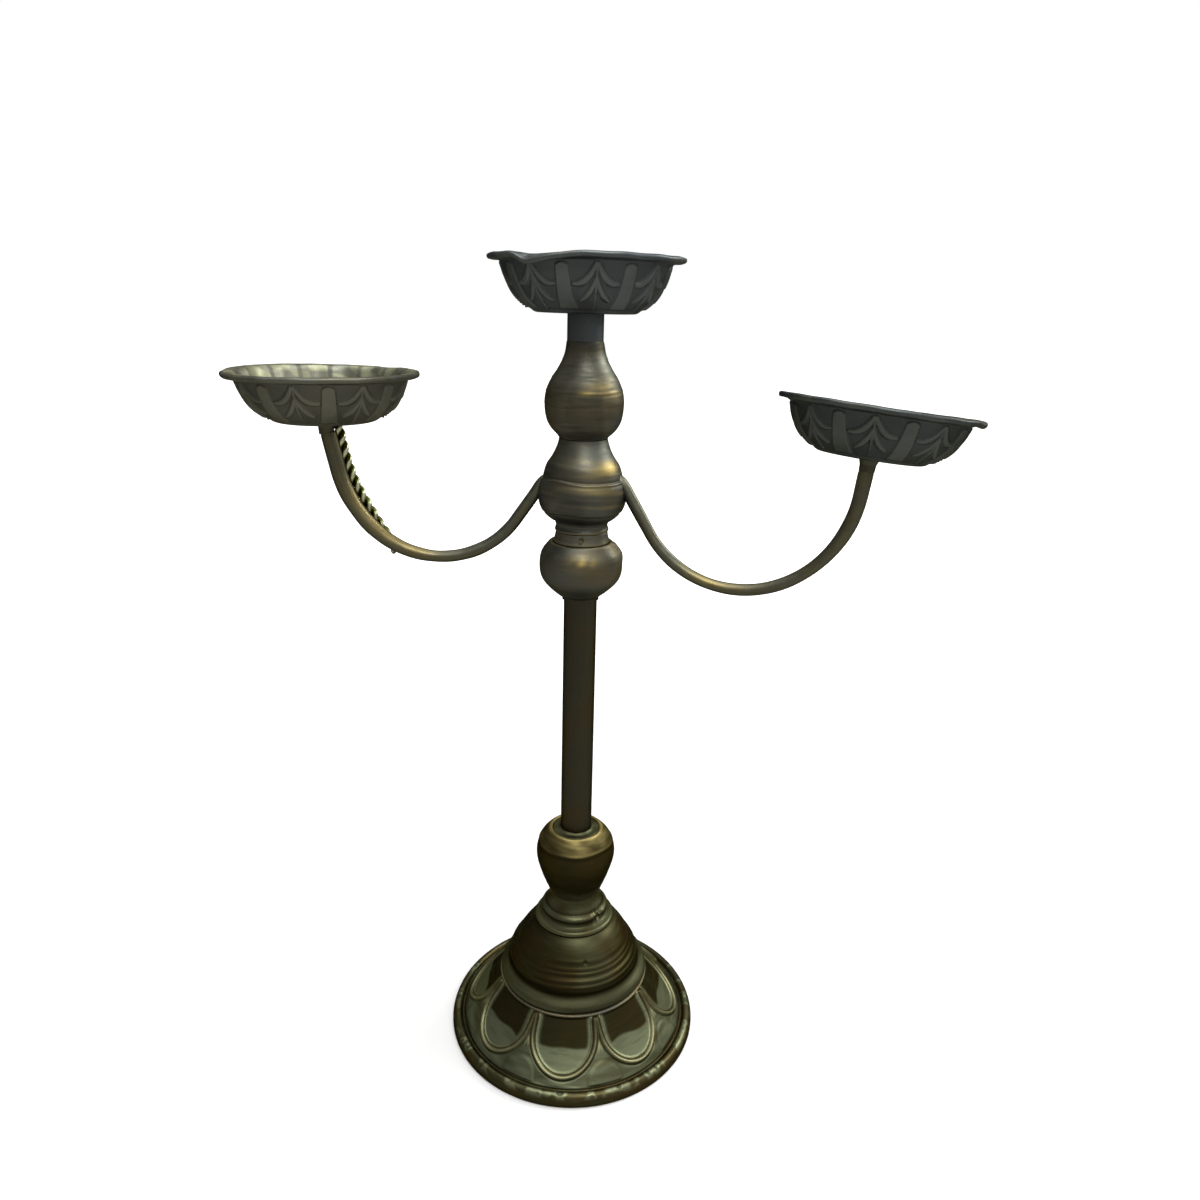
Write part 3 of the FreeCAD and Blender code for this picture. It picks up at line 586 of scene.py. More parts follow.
def neck_paint(angle, level, lift):
    notch = patch(angle, level, NECK_NOTCH, NOTCH_LEVEL, 13.0, 3.0)
    crumple = neck_crumple(angle, level)
    grooves = hump(level, 70.3, 1.0) + hump(level, 75.0, 0.6) + 0.5 * hump(level, 68.2, 0.5)
    wear_and_highlight = 0.9 * notch * smoothstep(0.3, 1.2, crumple) + 0.15 * hump(level, 66.4, 0.9)
    grime_and_shade = 0.7 * grooves * (1.0 - 0.5 * notch) + 0.6 * notch * smoothstep(0.2, -0.8, crumple)
    green = 0.55 + 0.25 * hump(level, 73.0, 1.0) + 0.15 * mottle(angle, level, 43, 6, 0.3)
    return wear_and_highlight, grime_and_shade, green


settle(turned("stepped_neck", NECK_LINE, [(12.2, 79.9), (12.2, 76.0), (15.4, 72.0), (17.4, 65.0)],
              neck_relief, neck_paint, around=360, spacing=0.2),
       dome_brass, "column", "column_brass", "foot_neck")


# ---------------- knops of the column

def soft_dents(angle, level, seed, depth=0.14):
    return depth * mottle(angle, level, seed, 4, 0.12)


KNOP_LINE = [
    (13.3, 80.0), (13.7, 82.5), (14.9, 86.0), (16.1, 89.0), (17.3, 92.0), (18.3, 95.0),
    (19.2, 98.0), (20.0, 101.0), (20.5, 104.0), (20.5, 107.0), (19.9, 110.0), (18.9, 113.0),
    (17.2, 116.0), (15.0, 118.4), (13.9, 119.3), (13.2, 119.7), (12.6, 119.6)]


def knop_fold(angle, level):
    """Height of the fold between the knop's darker belly and its shoulder, which is painted as a gold
    highlight band.
    """
    return 112.2 + 0.35 * mottle(angle, level, 51, 5, 0.0)


def knop_relief(angle, level):
    fold = knop_fold(angle, level)
    ridge = 0.16 * hump(level, fold, 0.8) - 0.12 * hump(level, fold - 1.7, 0.8)
    return soft_dents(angle, level, 52) + ridge + 0.10 * hump(level, 88.6, 0.8)


def knop_paint(angle, level, lift):
    fold = knop_fold(angle, level)
    # Painted light: band is the shoulder above the fold, painted gold as a highlight and brighter
    # towards the front (facing), with a painted highlight spot at the front; the top lip is rubbed
    # and painted bright; the belly below is darker.
    band = smoothstep(fold - 0.4, fold + 0.5, level)
    facing = 0.62 + 0.38 * np.cos(np.radians(angle - 12.0))
    streaks = mottle(angle, level, 53, 10, 0.9)
    lip = hump(level, 119.6, 0.45)
    wear_and_highlight = band * (0.16 + 0.12 * streaks) * facing + 0.8 * lip
    wear_and_highlight = wear_and_highlight + 0.5 * band * patch(angle, level, 8.0, 113.4, 22.0, 1.0)
    grime_and_shade = 0.45 * (1.0 - band) * smoothstep(84.0, 92.0, level)
    grime_and_shade = grime_and_shade + 0.25 * hump(level, fold - 1.3, 1.0)
    green = 0.50 * smoothstep(90.0, 87.0, level) + 0.10 * band
    return wear_and_highlight, grime_and_shade, green


settle(turned("foot_knop_shell", KNOP_LINE,
              [(12.0, 119.2), (12.0, 117.0), (16.0, 114.6), (19.2, 107.0), (19.2, 103.0),
               (15.0, 89.0), (12.2, 82.0), (12.2, 80.0)],
              knop_relief, knop_paint, around=360, spacing=0.25),
       knop_brass, "column", "column_brass", "foot_knop")


def dish_paint(angle, level, lift):
    crumbs = mottle(angle, level, 61, 9, 1.2)
    return 0.10 * smoothstep(1.0, 2.0, crumbs), 0.45 * smoothstep(-0.8, -1.8, crumbs), 0.75


settle(turned("knop_dish", [(12.1, 117.6), (12.1, 118.9), (11.6, 119.3), (10.6, 119.4),
                            (9.4, 119.6), (8.2, 120.3)],
              [(8.1, 119.8), (8.1, 117.2), (11.0, 117.1)],
              lambda angle, level: 0.05 * mottle(angle, level, 62, 11, 1.0),
              dish_paint, around=240, spacing=0.2),
       dome_brass, "column", "column_brass", "knop_washer")

CUP_LINE = [
    (8.4, 247.65), (9.2, 247.8), (10.6, 248.8), (13.1, 250.8), (16.5, 254.0), (18.7, 257.0),
    (19.7, 260.2), (19.9, 263.6), (19.6, 266.8), (18.7, 269.6), (17.2, 271.8), (15.7, 273.5),
    (14.8, 274.5), (14.2, 274.85), (13.7, 274.7)]
CUP_SEAM = 72.0


def cup_relief(angle, level):
    seam = smoothstep(264.0, 270.0, level) * smoothstep(0.0, 3.0, turn_gap(angle, CUP_SEAM))
    seam = seam * smoothstep(26.0, 14.0, turn_gap(angle, CUP_SEAM))
    return soft_dents(angle, level, 71) + 0.75 * seam


def cup_paint(angle, level, lift):
    # Painted light: gold is a glint near the front, halo a soft pool round it, behind a copy at the
    # back; the mouth edge is rubbed and painted bright, and the right side is painted brighter as a
    # sheen.
    gold = patch(angle, level, 6.0, 269.0, 15.0, 1.7) * (0.9 + 0.5 * mottle(
        angle, level, 72, 22, 0.8))
    halo = patch(angle, level, 0.0, 267.0, 34.0, 4.6)
    behind = patch(angle, level, 196.0, 264.0, 30.0, 3.0)
    wear_and_highlight = 0.75 * gold + 0.16 * halo + 0.3 * behind + 0.3 * hump(level, 274.8, 0.4)
    wear_and_highlight = wear_and_highlight + 0.10 * smoothstep(10.0, 90.0, angle) * smoothstep(150.0, 90.0, angle)
    # A painted shadow line at the cup's foot, where it meets the tube, and darker towards the bottom.
    grime_and_shade = 0.30 * smoothstep(258.0, 250.0, level) + 0.45 * hump(level, 248.2, 0.5)
    green = 0.45 * patch(angle, level, 44.0, 270.5, 26.0, 2.4) + 0.5 * hump(level, 274.6, 0.8)
    return wear_and_highlight, grime_and_shade, green


settle(turned("cup_knop_shell", CUP_LINE,
              [(12.9, 274.2), (14.4, 272.8), (18.2, 266.0), (18.4, 260.0), (12.0, 251.8),
               (8.2, 248.6)],
              cup_relief, cup_paint, around=360, spacing=0.25),
       column_brass, "column", "column_brass", "cup_knop")

collar_low, collar_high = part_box("neck_collar")
COLLAR_LINE = [
    (13.2, collar_low.z / MM), (13.2, 275.2), (12.9, 276.2), (12.6, 277.2), (12.4, 278.2),
    (12.2, 279.4), (12.0, collar_high.z / MM - 0.05)]


def collar_paint(angle, level, lift):
    return 0.06 + 0.2 * hump(level, 275.6, 0.4), 0.05, 0.60


settle(turned("collar_sleeve", COLLAR_LINE, [(9.0, 279.9), (9.0, 279.2), (11.2, 278.8),
                                             (12.6, 275.0)],
              lambda angle, level: soft_dents(angle, level, 75, 0.08) - 0.5 * patch(
                  angle, level, 1.0, 277.8, 3.4, 1.2),
              collar_paint, around=300, spacing=0.2),
       column_brass, "column", "column_brass", "neck_collar")

hub_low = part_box("hub_knop")[0]
HUB_LINE = [
    (12.6, hub_low.z / MM + 0.05), (12.6, 281.2), (12.2, 281.9), (12.0, 282.8), (12.2, 283.8),
    (13.0, 284.9), (14.9, 286.2), (17.2, 288.2), (19.0, 290.6), (20.1, 293.0), (20.7, 296.5),
    (20.7, 299.5), (20.2, 302.2), (19.2, 304.4), (18.4, 306.4), (17.8, 308.6), (16.8, 311.2),
    (15.3, 313.4), (13.9, 315.6), (12.7, 318.0), (11.7, 320.6), (11.2, 322.95)]


def hub_relief(angle, level):
    wave = 0.55 * np.sin(np.radians(angle * 2 - 40)) + 0.25 * mottle(angle, level, 81, 6, 0.0)
    crease = hump(level + wave, 304.6, 0.55) - 0.9 * hump(level + wave, 305.7, 0.6)
    lower = hump(level + 0.5 * wave, 290.6, 0.6) - hump(level + 0.5 * wave, 289.6, 0.5)
    step = hump(level, 285.2, 0.5)
    return soft_dents(angle, level, 82) + 0.26 * crease + 0.14 * lower - 0.25 * step


def hub_paint(angle, level, lift):
    streaks = mottle(angle, level, 83, 5, 1.3)
    # Painted light: side is a sheen on the right, upper a gold-green glint high on the right, middle
    # a glint at the front and back a copy at the back; the lower edge at 280.8 is rubbed and painted
    # bright as a highlight; the hub is darker towards the bottom.
    side = 0.5 + 0.5 * np.cos(np.radians(angle - 62.0))
    upper = patch(angle, level, 46.0, 311.0, 22.0, 2.6)
    middle = patch(angle, level, 14.0, 302.6, 26.0, 2.0)
    back = patch(angle, level, 206.0, 304.0, 40.0, 3.5)
    wear_and_highlight = 0.70 * upper + 0.48 * middle + 0.35 * back + 0.22 * side * smoothstep(
        0.0, 1.6, streaks) * smoothstep(286.0, 294.0, level) * smoothstep(318.0, 309.0, level)
    grime_and_shade = 0.35 * smoothstep(-0.06, -0.2, lift) + 0.30 * smoothstep(292.0, 286.0, level)
    grime_and_shade = grime_and_shade + 0.18 * smoothstep(0.2, 1.4, -streaks)
    sleeve = smoothstep(311.5, 315.0, level) + smoothstep(285.0, 283.5, level)
    wear_and_highlight = wear_and_highlight + 0.35 * hump(level, 280.8, 0.4)
    green = 0.20 * sleeve + 0.40 * upper
    return wear_and_highlight, grime_and_shade * (1.0 - 0.7 * sleeve), green


settle(turned("hub_knop_shell", HUB_LINE,
              [(10.0, 322.7), (10.6, 319.0), (14.8, 311.0), (18.2, 303.0), (19.2, 298.0),
               (16.8, 290.0), (11.4, 285.0), (11.4, 280.8)],
              hub_relief, hub_paint, around=400, spacing=0.22),
       column_brass, "arms", "column_brass", "hub_knop")

CROWN_LINE = [
    (11.15, 323.32), (11.6, 323.9), (12.7, 325.0), (14.1, 326.4), (15.5, 328.2), (16.8, 330.8),
    (17.6, 334.2), (17.9, 338.0), (17.8, 341.0), (17.3, 344.0), (16.2, 347.0), (14.7, 350.0),
    (12.7, 353.0), (11.0, 356.0), (9.8, 358.6), (9.1, 360.8), (8.7, 363.0), (8.4, 364.8),
    (8.15, 365.6)]
CROWN_RIDGES = ((344.6, 0.09), (339.4, 0.05), (350.6, 0.09), (354.6, 0.12), (358.4, 0.08),
                (330.6, 0.06))


def crown_relief(angle, level):
    wave = 0.3 * np.sin(np.radians(angle * 3 + 20))
    ridges = 0.0
    for place, depth in CROWN_RIDGES:
        ridges = ridges + depth * hump(level + wave, place, 0.5)
        ridges = ridges - 0.7 * depth * hump(level + wave, place - 1.1, 0.5)
    return soft_dents(angle, level, 91) + ridges * (0.6 + 0.4 * mottle(angle, level, 93, 3, 0.3))


def crown_paint(angle, level, lift):
    streaks = mottle(angle, level, 92, 5, 1.5)
    # Painted light: spot is a glint at the front, right a sheen on the right, back a copy at the
    # back, and a soft pool of painted light lies low at the front.
    spot = patch(angle, level, 4.0, 344.4, 12.0, 0.8)
    right = patch(angle, level, 40.0, 346.0, 30.0, 4.0)
    back = patch(angle, level, 200.0, 342.0, 42.0, 5.0)
    wear_and_highlight = 0.95 * spot + (0.26 + 0.14 * streaks) * right + 0.3 * back
    wear_and_highlight = wear_and_highlight + 0.12 * patch(angle, level, 0.0, 338.0, 50.0, 4.0)
    grime_and_shade = 0.30 * smoothstep(-0.05, -0.16, lift) + 0.20 * smoothstep(0.2, 1.4, -streaks)
    grime_and_shade = grime_and_shade + 0.15 * smoothstep(331.0, 325.0, level) + 0.30 * smoothstep(
        359.0, 365.0, level)
    green = 0.60 * smoothstep(345.0, 351.0, level) * smoothstep(362.0, 355.0, level)
    green = green + 0.35 * smoothstep(0.0, -90.0, angle) + 0.3 * smoothstep(332.0, 326.0, level)
    return wear_and_highlight, grime_and_shade, green


settle(turned("crown_knop_shell", CROWN_LINE,
              [(8.12, 365.4), (8.12, 361.9), (7.6, 361.6), (7.6, 358.0), (15.4, 345.0),
               (16.4, 337.0), (13.4, 329.0), (9.6, 323.9)],
              crown_relief, crown_paint, around=360, spacing=0.22),
       column_brass, "column", "column_brass", "crown_knop")


# ---------------- pans

PAN_AROUND = 768
PAN_RADIUS = 43.0
PAN_HEIGHT = 22.0
LOBES = 16
MOTIFS = 8
PAN_OUTSIDE = [
    (3.4, 0.0), (12.0, 0.0), (20.2, 0.0), (22.6, 0.4), (26.0, 2.1), (29.8, 5.0), (32.5, 8.0),
    (34.3, 11.0), (35.8, 14.0), (36.8, 16.6), (37.6, 18.4), (38.8, 19.3), (40.6, 19.5),
    (42.2, 19.6), (43.0, 20.5), (42.8, 21.6), (41.6, 22.0)]
PAN_INSIDE = [
    (41.6, 22.0), (40.0, 21.8), (38.0, 21.3), (36.6, 19.8), (35.5, 17.0), (34.4, 14.0),
    (32.9, 11.0), (31.1, 8.0), (28.4, 5.2), (25.0, 2.9), (21.8, 1.6), (19.6, 1.3),
    (12.0, 1.3), (3.4, 1.3)]
# A palm motif's leaves on the wall: start, bend and end as (across, up), then the half width.
# They leave the stem near its top, hang beside it and sweep out to a point.
LEAVES = [
    ((0.0, 17.6), (0.0, 11.0), (0.0, 2.2), 0.85),
    ((0.5, 17.6), (3.0, 10.2), (9.4, 10.6), 1.75),
    ((-0.5, 17.6), (-3.0, 10.2), (-9.4, 10.6), 1.75),
    ((0.4, 12.4), (1.8, 6.8), (6.6, 5.0), 1.55),
    ((-0.4, 12.4), (-1.8, 6.8), (-6.6, 5.0), 1.55),
]


def leaf(across, up, start, bend, end, half_width):
    """Height of a leaf: 1 along its middle, falling to 0 at its edge, pointed at both ends."""
    best = np.full(np.broadcast(across, up).shape, -1.0)
    for share in np.linspace(0.0, 1.0, 22):
        x = (1 - share) ** 2 * start[0] + 2 * share * (1 - share) * bend[0] + share ** 2 * end[0]
        y = (1 - share) ** 2 * start[1] + 2 * share * (1 - share) * bend[1] + share ** 2 * end[1]
        width = half_width * (0.30 + 0.70 * math.sin(math.pi * (0.12 + 0.80 * share)))
        best = np.maximum(best, 1.0 - np.hypot(across - x, up - y) / (2.0 * width))
    return smoothstep(0.42, 0.86, best)


def pan_wall(angle, level, radius, start):
    """Embossing on a pan's wall, 0 to 1. Start is the angle of a motif's middle."""
    pitch = 360.0 / MOTIFS
    off_motif = (angle - start + pitch / 2) % pitch - pitch / 2
    off_pillar = (angle - start) % pitch - pitch / 2
    across = np.radians(off_motif) * 34.0
    pattern = np.zeros(np.broadcast(angle, level).shape)
    for start_point, bend, end, half_width in LEAVES:
        pattern = np.maximum(pattern, leaf(across, level, start_point, bend, end, half_width))
    pillar_across = np.radians(off_pillar) * radius
    half = 2.7 + 0.05 * (18.0 - level)
    side = smoothstep(half + 0.4, half - 0.4, np.abs(pillar_across))
    top = smoothstep(18.6, 17.4, level + 0.16 * pillar_across ** 2)
    pillar = side * smoothstep(1.2, 2.4, level) * top
    return np.maximum(pattern, 0.9 * pillar)


def pan_points(tall, wide, start, dent_angle, dent_depth, dent_spread, seed, bright_inside):
    """The pan's grid of points in its own frame, with its paint."""
    outside = evenly(spline(PAN_OUTSIDE, 8), 0.28)
    inside = evenly(spline(PAN_INSIDE, 8), 0.45)[1:]
    line = np.vstack([outside, inside])
    line[:, 0] += (wide - PAN_RADIUS) * smoothstep(30.0, PAN_RADIUS, line[:, 0])
    line[:, 1] += (tall - PAN_HEIGHT) * smoothstep(1.4, 20.0, line[:, 1])
    angle = np.arange(PAN_AROUND)[None, :] * 360.0 / PAN_AROUND
    reach, level = line.T[:, :, None]
    wall_reach, wall_level = outside.T[:, :, None]
    floor_reach, floor_level = inside.T[:, :, None]
    radius = reach + np.zeros((1, PAN_AROUND))
    height = level + np.zeros((1, PAN_AROUND))
    normals = outward(outside)
    pattern = pan_wall(angle, wall_level, wall_reach, start)
    wall = smoothstep(22.5, 24.5, wall_reach) * smoothstep(38.3, 37.4, wall_reach)
    lift = (0.75 * pattern - 0.35) * wall
    rows = len(outside)
    radius[:rows] += lift * normals[:, 0][:, None]
    height[:rows] += lift * normals[:, 1][:, None]
    lobe = np.cos(np.radians(angle) * LOBES)
    rim = smoothstep(34.0, 43.0, reach)
    scallop = 0.5 * (1.0 - lobe)
    radius -= 0.30 * scallop * smoothstep(38.5, 43.0, reach)
    height -= 0.22 * scallop * smoothstep(39.0, 43.0, reach)
    bend = 0.25 * mottle(angle, 0.0, seed, 3, 0.0)
    height += rim * (bend - 0.25)
    off_dent = turn_gap(angle, dent_angle)
    dent = hump(off_dent / np.where(off_dent < 0.0, dent_spread[0], dent_spread[1]), 0.0, 1.0)
    height -= dent_depth * dent * smoothstep(36.0, 42.0, reach)
    flute = np.zeros(radius.shape)
    flute[rows:] = 0.45 * lobe * smoothstep(22.0, 30.0, floor_reach) * smoothstep(
        39.0, 36.0, floor_reach)
    radius += flute
    height = np.minimum(height, tall)
    paint = np.zeros((len(line), PAN_AROUND, 3))
    # The wall's paint is painted relief shading: the raised motifs paler and slightly brighter, the
    # ground between them and their outlines darker; the wall is darker towards the base.
    smudge = mottle(angle, wall_level, seed + 1, 9, 0.3)
    edge = hump(wall_reach, 42.6, 0.7)
    base = smoothstep(23.0, 21.0, wall_reach)
    outline = smoothstep(0.1, 0.5, pattern) * smoothstep(0.9, 0.5, pattern) * wall
    paint[:rows, :, 0] = 0.04 * pattern * wall + 0.08 * edge * smoothstep(0.2, 1.2, smudge)
    paint[:rows, :, 1] = 0.25 * (1.0 - pattern) * wall + 0.30 * base + 0.25 * outline
    paint[:rows, :, 2] = 0.22 * pattern * wall + 0.10 + 0.10 * smudge
    smudge = mottle(angle, floor_level, seed + 2, 14, 0.5)
    crease = smoothstep(-0.80, -0.97, lobe)
    torn = smoothstep(-0.1, 0.25, smudge)
    # The inside is a painted reflection, brighter in torn patches, its strength given for each pan.
    paint[rows:, :, 0] = bright_inside * (0.15 + 0.60 * torn)
    paint[rows:, :, 1] = 0.45 * crease * smoothstep(24.0, 32.0, floor_reach)
    paint[rows:, :, 2] = 0.35 + 0.35 * bright_inside
    return round_axis(radius, height, angle), paint


def build_pan(name, node, body, joint, material, **looks):
    """A pan whose base is at its joint and whose axis is the joint's."""
    points, paint = pan_points(**looks)
    pan = grid_mesh(name, points, paint, smooth_below=60.0)
    axis = Vector(JOINTS[joint]["axis"]).normalized()
    tilt = Vector((0, 0, 1)).rotation_difference(axis).to_matrix().to_4x4()
    pan.data.transform(Matrix.Translation(Vector(JOINTS[joint]["pos_m"])) @ tilt)
    settle(pan, material, body, "pan_brass", node)


build_pan("top_lamp_pan", "top_pan", "top_cup", "top_pan_turn", pan_brass,
          tall=24.0, wide=43.0, start=8.0, dent_angle=-33.0, dent_depth=2.8,
          dent_spread=(8.0, 18.0), seed=101, bright_inside=0.3)
build_pan("left_lamp_pan", "left_pan", "left_cup", "left_pan_turn", left_pan_brass,
          tall=22.0, wide=42.2, start=-2.5, dent_angle=150.0, dent_depth=0.5,
          dent_spread=(9.0, 9.0), seed=111, bright_inside=0.8)
build_pan("right_lamp_pan", "right_pan", "right_cup", "right_pan_turn", right_pan_brass,
          tall=22.0, wide=42.5, start=-18.0, dent_angle=60.0, dent_depth=0.6,
          dent_spread=(9.0, 9.0), seed=121, bright_inside=0.3)


# ---------------- arms and twisted strand

LEFT_ARM_HEADING = math.radians(183.6)
RIGHT_ARM_HEADING = math.radians(-14.7)
LEFT_ARM_START = (5.0, 305.6)
RIGHT_ARM_START = (5.0, 306.9)
# Each arm is straight runs (length, 0) and bends (radius, turn): down is below 0, up above it.
LEFT_ARM_MOVES = [(4.0, 0.0), (13.6, -55.0), (18.6, 0.0), (42.7, 97.1), (54.5, 36.7), (16.5, 0.0)]
RIGHT_ARM_MOVES = [(4.0, 0.0), (14.3, -58.7), (21.8, 0.0), (47.9, 91.7), (54.7, 50.7), (10.9, 0.0)]
# The strand's middle line beside the left arm: reach from the column, distance behind, height.
STRAND_LINE = [
    (110.8, 2.2, 327.2), (108.9, 2.8, 316.0), (106.4, 3.4, 305.0), (102.6, 4.2, 295.0),
    (97.1, 5.0, 284.0), (91.3, 5.4, 274.0), (87.6, 5.0, 266.8)]
WIRE_RADIUS = 1.35
WIRE_OFFSET = 1.25
TWIST_PITCH = 11.0
ARM_RADIUS = 2.80
ARM_STEP = 0.6


def unit(vectors):
    return vectors / np.linalg.norm(vectors, axis=-1, keepdims=True)


def distance_along(line):
    return np.concatenate([[0.0], np.cumsum(np.linalg.norm(np.diff(line, axis=0), axis=1))])


def sweep(name, line, width, sides, paint):
    """A round rod along the line, whose radius at each point is the width. The paint takes the
    distance along, and the turn round the rod: 90 degrees is its front."""
    heading = unit(np.gradient(line, axis=0))
    first = unit(np.cross(heading, (0.0, 1.0, 0.0)))
    second = np.cross(heading, first)
    turn = np.arange(sides)[None, :] * TURN / sides
    points = line[:, None, :] + width[:, None, None] * (
        first[:, None, :] * np.cos(turn)[..., None] + second[:, None, :] * np.sin(turn)[..., None])
    gone = distance_along(line)[:, None]
    shares = [share + np.zeros((len(line), sides)) for share in paint(gone, np.degrees(turn), points)]
    return grid_mesh(name, points, np.stack(shares, axis=-1), close_rows=False)


def arm_line(heading, start, moves):
    """The arm's middle line, in the upright plane through the column's axis at that heading."""
    place = np.array(start)
    slope = 0.0
    places = [place]
    for size, turn in moves:
        length = abs(math.radians(turn)) * size if turn else size
        count = max(2, int(length / ARM_STEP))
        for _ in range(count):
            half = math.radians(turn) / count / 2.0
            slope += half
            place = place + length / count * np.array([math.cos(slope), math.sin(slope)])
            slope += half
            places.append(place)
    places = np.array(places)
    return np.stack([places[:, 0] * math.cos(heading), places[:, 0] * math.sin(heading),
                     places[:, 1]], axis=1)


def build_arm(name, node, heading, start, moves, thicker, thicker_from, seed, gold_from, gold_to,
              downward, rubbed_and_lit_turn):
    """A drawn rod that grows thicker towards the pan, and flares where it enters the hub. Its paint
    is rubbed gold and painted highlight between two distances along, on the rubbed and lit side, and
    paler along that side nearer the hub as a painted highlight line; downward is the turn of the
    rod's underside, which is painted in shade."""
    line = arm_line(heading, start, moves)
    gone = distance_along(line)
    wobble = 0.05 * mottle(gone * 3.0, 0.0, seed, 9, 0.0)
    width = (ARM_RADIUS + thicker * smoothstep(thicker_from, thicker_from + 40.0, gone) + wobble
             + 0.35 * hump(gone, 13.0, 4.0))
    width = np.where(gone > gone[-1] - 1.0, width - 0.15, width)

    def paint(along, turn, points):
        rubbed_and_lit_span = smoothstep(gold_from - 16.0, gold_from + 8.0, along)
        rubbed_and_lit_span = rubbed_and_lit_span * smoothstep(gold_to + 16.0, gold_to - 8.0, along)
        # front is the lit side: gold there is rubbed and painted highlight, and nearer the hub it is
        # painted pale as a highlight line; the underside (downward) is painted in shade.
        front = hump(turn_gap(turn, rubbed_and_lit_turn), 0.0, 40.0)
        streaks = mottle(turn, along, seed + 1, 6, 0.05)
        wear_and_highlight = rubbed_and_lit_span * front * (0.55 + 0.12 * streaks)
        grime_and_shade = 0.30 * smoothstep(0.3, 1.5, -streaks) + 0.60 * hump(
            turn_gap(turn, downward), 0.0, 62.0)
        return wear_and_highlight, grime_and_shade, 0.55 * front * (1.0 - rubbed_and_lit_span) * smoothstep(150.0, 60.0, along)

    arm = sweep(name, line, width, 40, paint)
    settle(arm, arm_brass, "arms", "arm_brass", node)


def build_wire(name, start_turn, line):
    """One wire of the strand, on a helix about the line, with rounded ends."""
    along = unit(np.gradient(line, axis=0))
    side = unit(np.cross(along, (0.0, 1.0, 0.0)))
    front = np.cross(along, side)
    gone = distance_along(line)
    turn = TURN * gone / TWIST_PITCH + start_turn
    middle = line + WIRE_OFFSET * (
        side * np.cos(turn)[:, None] + front * np.sin(turn)[:, None])
    from_end = np.minimum(gone, gone[-1] - gone)
    width = WIRE_RADIUS * np.sqrt(1.0 - (1.0 - np.clip(from_end / WIRE_RADIUS, 0.005, 1.0)) ** 2)

    def paint(travelled, around, points):
        outer = np.linalg.norm(points - line[:, None, :], axis=2) / (WIRE_OFFSET + WIRE_RADIUS)
        lower = smoothstep(gone[-1] * 0.45, gone[-1] * 0.80, gone)[:, None]
        # bright is a painted highlight on each wire's outer crest, weaker lower down; grime is
        # painted shade in the valleys between the wires.
        bright = smoothstep(0.90, 1.0, outer) * (0.9 - 0.35 * lower)
        grime_and_shade = 0.55 * smoothstep(0.75, 0.45, outer) + 0.25 * lower
        return bright, grime_and_shade, 0.80 * (1.0 - lower) * smoothstep(0.4, 0.8, outer)

    return sweep(name, middle, width, 20, paint)


def strand_line():
    heading = np.array([math.cos(LEFT_ARM_HEADING), math.sin(LEFT_ARM_HEADING)])
    behind = np.array([math.sin(LEFT_ARM_HEADING), -math.cos(LEFT_ARM_HEADING)])
    places = []
    for reach, back, height in STRAND_LINE:
        flat = heading * reach + behind * back
        places.append((flat[0], flat[1], height))
    return evenly(spline(places, 12), 0.35)


build_arm("left_arm_rod", "left_arm", LEFT_ARM_HEADING, LEFT_ARM_START, LEFT_ARM_MOVES,
          thicker=0.78, thicker_from=76.0, seed=131, gold_from=88.0, gold_to=128.0, downward=0,
          rubbed_and_lit_turn=140.0)
build_arm("right_arm_rod", "right_arm", RIGHT_ARM_HEADING, RIGHT_ARM_START, RIGHT_ARM_MOVES,
          thicker=0.55, thicker_from=122.0, seed=135, gold_from=70.0, gold_to=84.0, downward=180,
          rubbed_and_lit_turn=60.0)
strand_middle = strand_line()
for name, start_turn in (("strand_wire_1", 0.0), ("strand_wire_2", math.pi)):
    settle(build_wire(name, start_turn, strand_middle),
           strand_brass, "arms", "strand_brass", "twisted_strand")


# ---------------- floor, light and camera

FLOOR_GAP = 0.0003         # metres from the floor up to the foot


def build_floor():
    """A pale floor that glows, more with distance, to pure white far off, and that the metal reflects
    much darker.
    """
    mesh = bpy.data.meshes.new("floor")
    mesh.from_pydata([(-6, -6, 0), (6, -6, 0), (6, 6, 0), (-6, 6, 0)], [], [(0, 1, 2, 3)])
    floor = add_object("floor", mesh)
    floor.location.z = foot_low.z - FLOOR_GAP
    material, shader = new_material("pale_floor")
    set_sockets(shader, {"Base Color": (0.80, 0.80, 0.80, 1.0), "Roughness": 0.9,
                         "Specular IOR Level": 0.0, "Emission Color": (1.0, 1.0, 1.0, 1.0)})
    tree = material.node_tree
    nodes, links = tree.nodes, tree.links
    place = nodes.new("ShaderNodeTexCoord")
    distance = nodes.new("ShaderNodeVectorMath")
    distance.operation = "LENGTH"
    links.new(place.outputs["Object"], distance.inputs[0])
    glow = map_range(tree, distance.outputs["Value"], 0.10, 1.10, 0.12, 1.00)
    links.new(glow, shader.inputs["Emission Strength"])
    dark = nodes.new("ShaderNodeBsdfDiffuse")
    dark.inputs["Color"].default_value = (0.36, 0.35, 0.32, 1.0)
    choice = reflected_or_seen(tree, dark.outputs["BSDF"], shader.outputs["BSDF"])
    output = next(node for node in nodes if node.type == "OUTPUT_MATERIAL")
    links.new(choice, output.inputs["Surface"])
    mesh.materials.append(material)


def aim(thing, target):
    """Turns a lamp's -Z towards the target."""
    direction = (Vector(target) - thing.location).normalized()
    thing.rotation_euler = direction.to_track_quat("-Z", "Y").to_euler()


def softbox(name, place, target, width, height, watts):
    data = bpy.data.lights.new(name, "AREA")
    data.shape = "RECTANGLE"
    data.size = width
    data.size_y = height
    data.energy = watts
    lamp = add_object(name, data)
    lamp.location = place
    aim(lamp, target)
    lamp.visible_camera = False


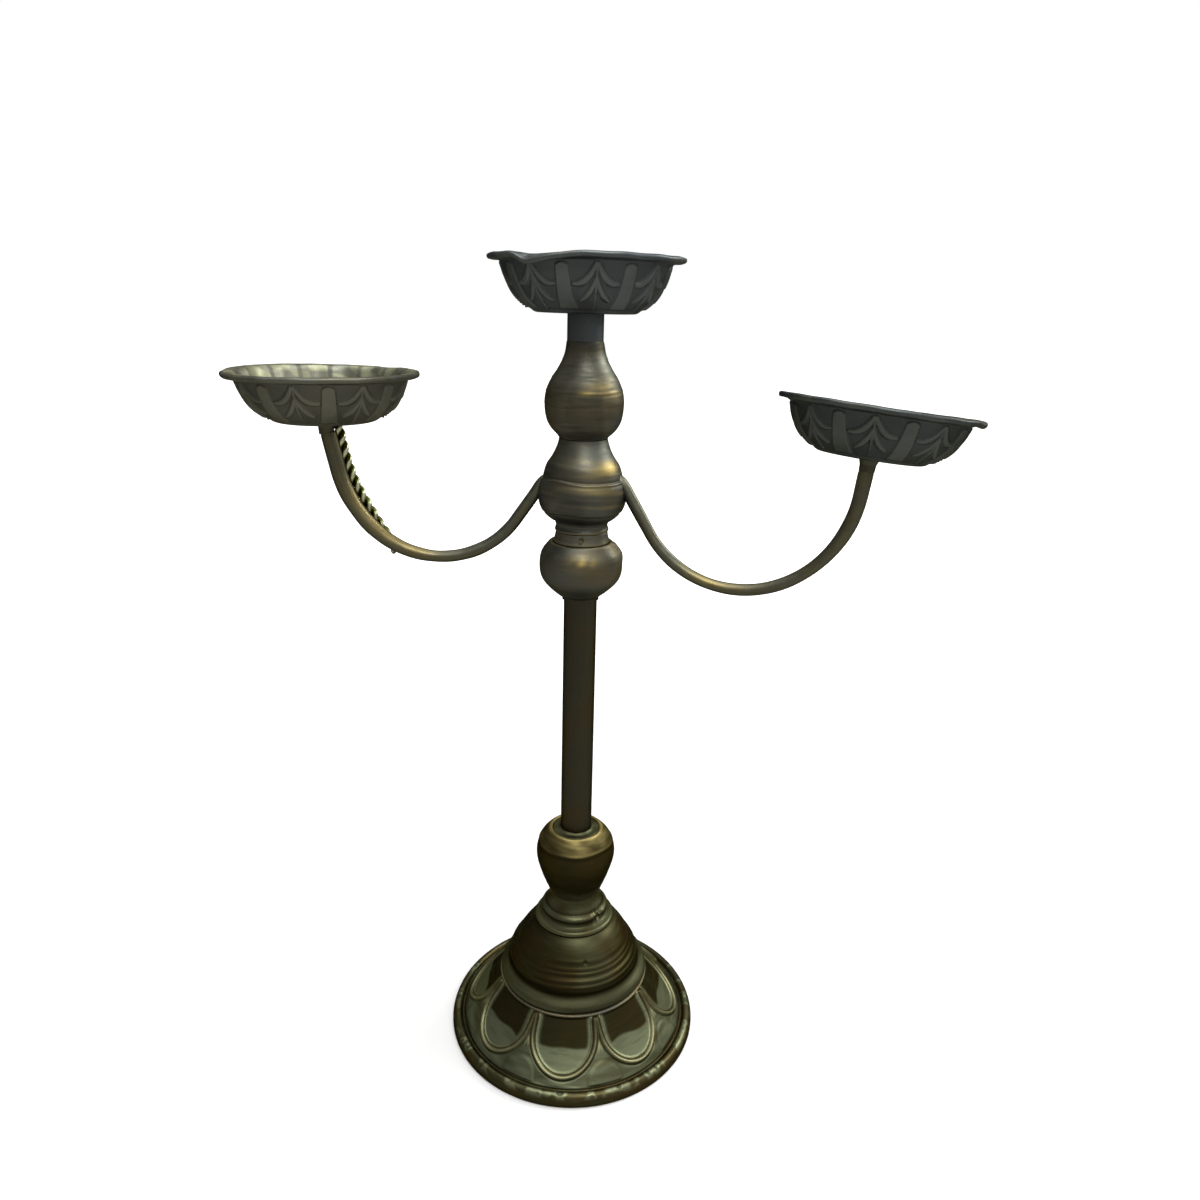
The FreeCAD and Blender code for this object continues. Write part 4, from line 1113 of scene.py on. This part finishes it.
def build_world():
    """White behind the object, and a dimmer sky, darker at the left, for what it reflects."""
    world = bpy.data.worlds.new("studio")
    bpy.context.scene.world = world
    world.use_nodes = True
    tree = world.node_tree
    nodes, links = tree.nodes, tree.links
    nodes.clear()
    direction = nodes.new("ShaderNodeTexCoord").outputs["Generated"]
    split = nodes.new("ShaderNodeSeparateXYZ")
    links.new(direction, split.inputs["Vector"])
    up = map_range(tree, split.outputs["Z"], -0.1, 0.9, 0.44, 0.70)
    right = map_range(tree, split.outputs["X"], -0.9, 0.9, 0.58, 1.20)
    strength = nodes.new("ShaderNodeMath")
    strength.operation = "MULTIPLY"
    links.new(up, strength.inputs[0])
    links.new(right, strength.inputs[1])
    sky = nodes.new("ShaderNodeBackground")
    sky.inputs["Color"].default_value = (1.0, 0.99, 0.96, 1.0)
    links.new(strength.outputs["Value"], sky.inputs["Strength"])
    white = nodes.new("ShaderNodeBackground")
    white.inputs["Color"].default_value = (1.0, 1.0, 1.0, 1.0)
    choice = reflected_or_seen(tree, sky.outputs["Background"], white.outputs["Background"])
    output = nodes.new("ShaderNodeOutputWorld")
    links.new(choice, output.inputs["Surface"])


CAMERA_PLACE = (9.5 * MM, -413.0 * MM, 382.2 * MM)
CAMERA_PITCH = math.radians(18.334)
CAMERA_ROLL = math.radians(1.5206)
CAMERA_LENS = 27.0
CAMERA_SENSOR = 36.0


def build_camera():
    data = bpy.data.cameras.new("camera")
    data.lens = CAMERA_LENS
    data.sensor_width = CAMERA_SENSOR
    data.clip_start = 0.01
    camera = add_object("camera", data)
    facing = Matrix.Rotation(math.radians(90.0) - CAMERA_PITCH, 4, "X")
    camera.matrix_world = (
        Matrix.Translation(CAMERA_PLACE) @ facing @ Matrix.Rotation(CAMERA_ROLL, 4, "Z"))
    bpy.context.scene.camera = camera


build_floor()
build_world()
build_camera()
LAMP_TARGET = (0.0, 0.0, 0.2)
softbox("key", (0.22, -0.85, 1.45), LAMP_TARGET, 0.55, 0.45, 8.0)
softbox("right_back", (1.1, 0.35, 0.95), LAMP_TARGET, 0.6, 0.6, 10.0)
softbox("top", (0.0, 0.0, 1.8), LAMP_TARGET, 1.4, 1.4, 17.0)
bpy.context.scene.view_settings.view_transform = "Standard"
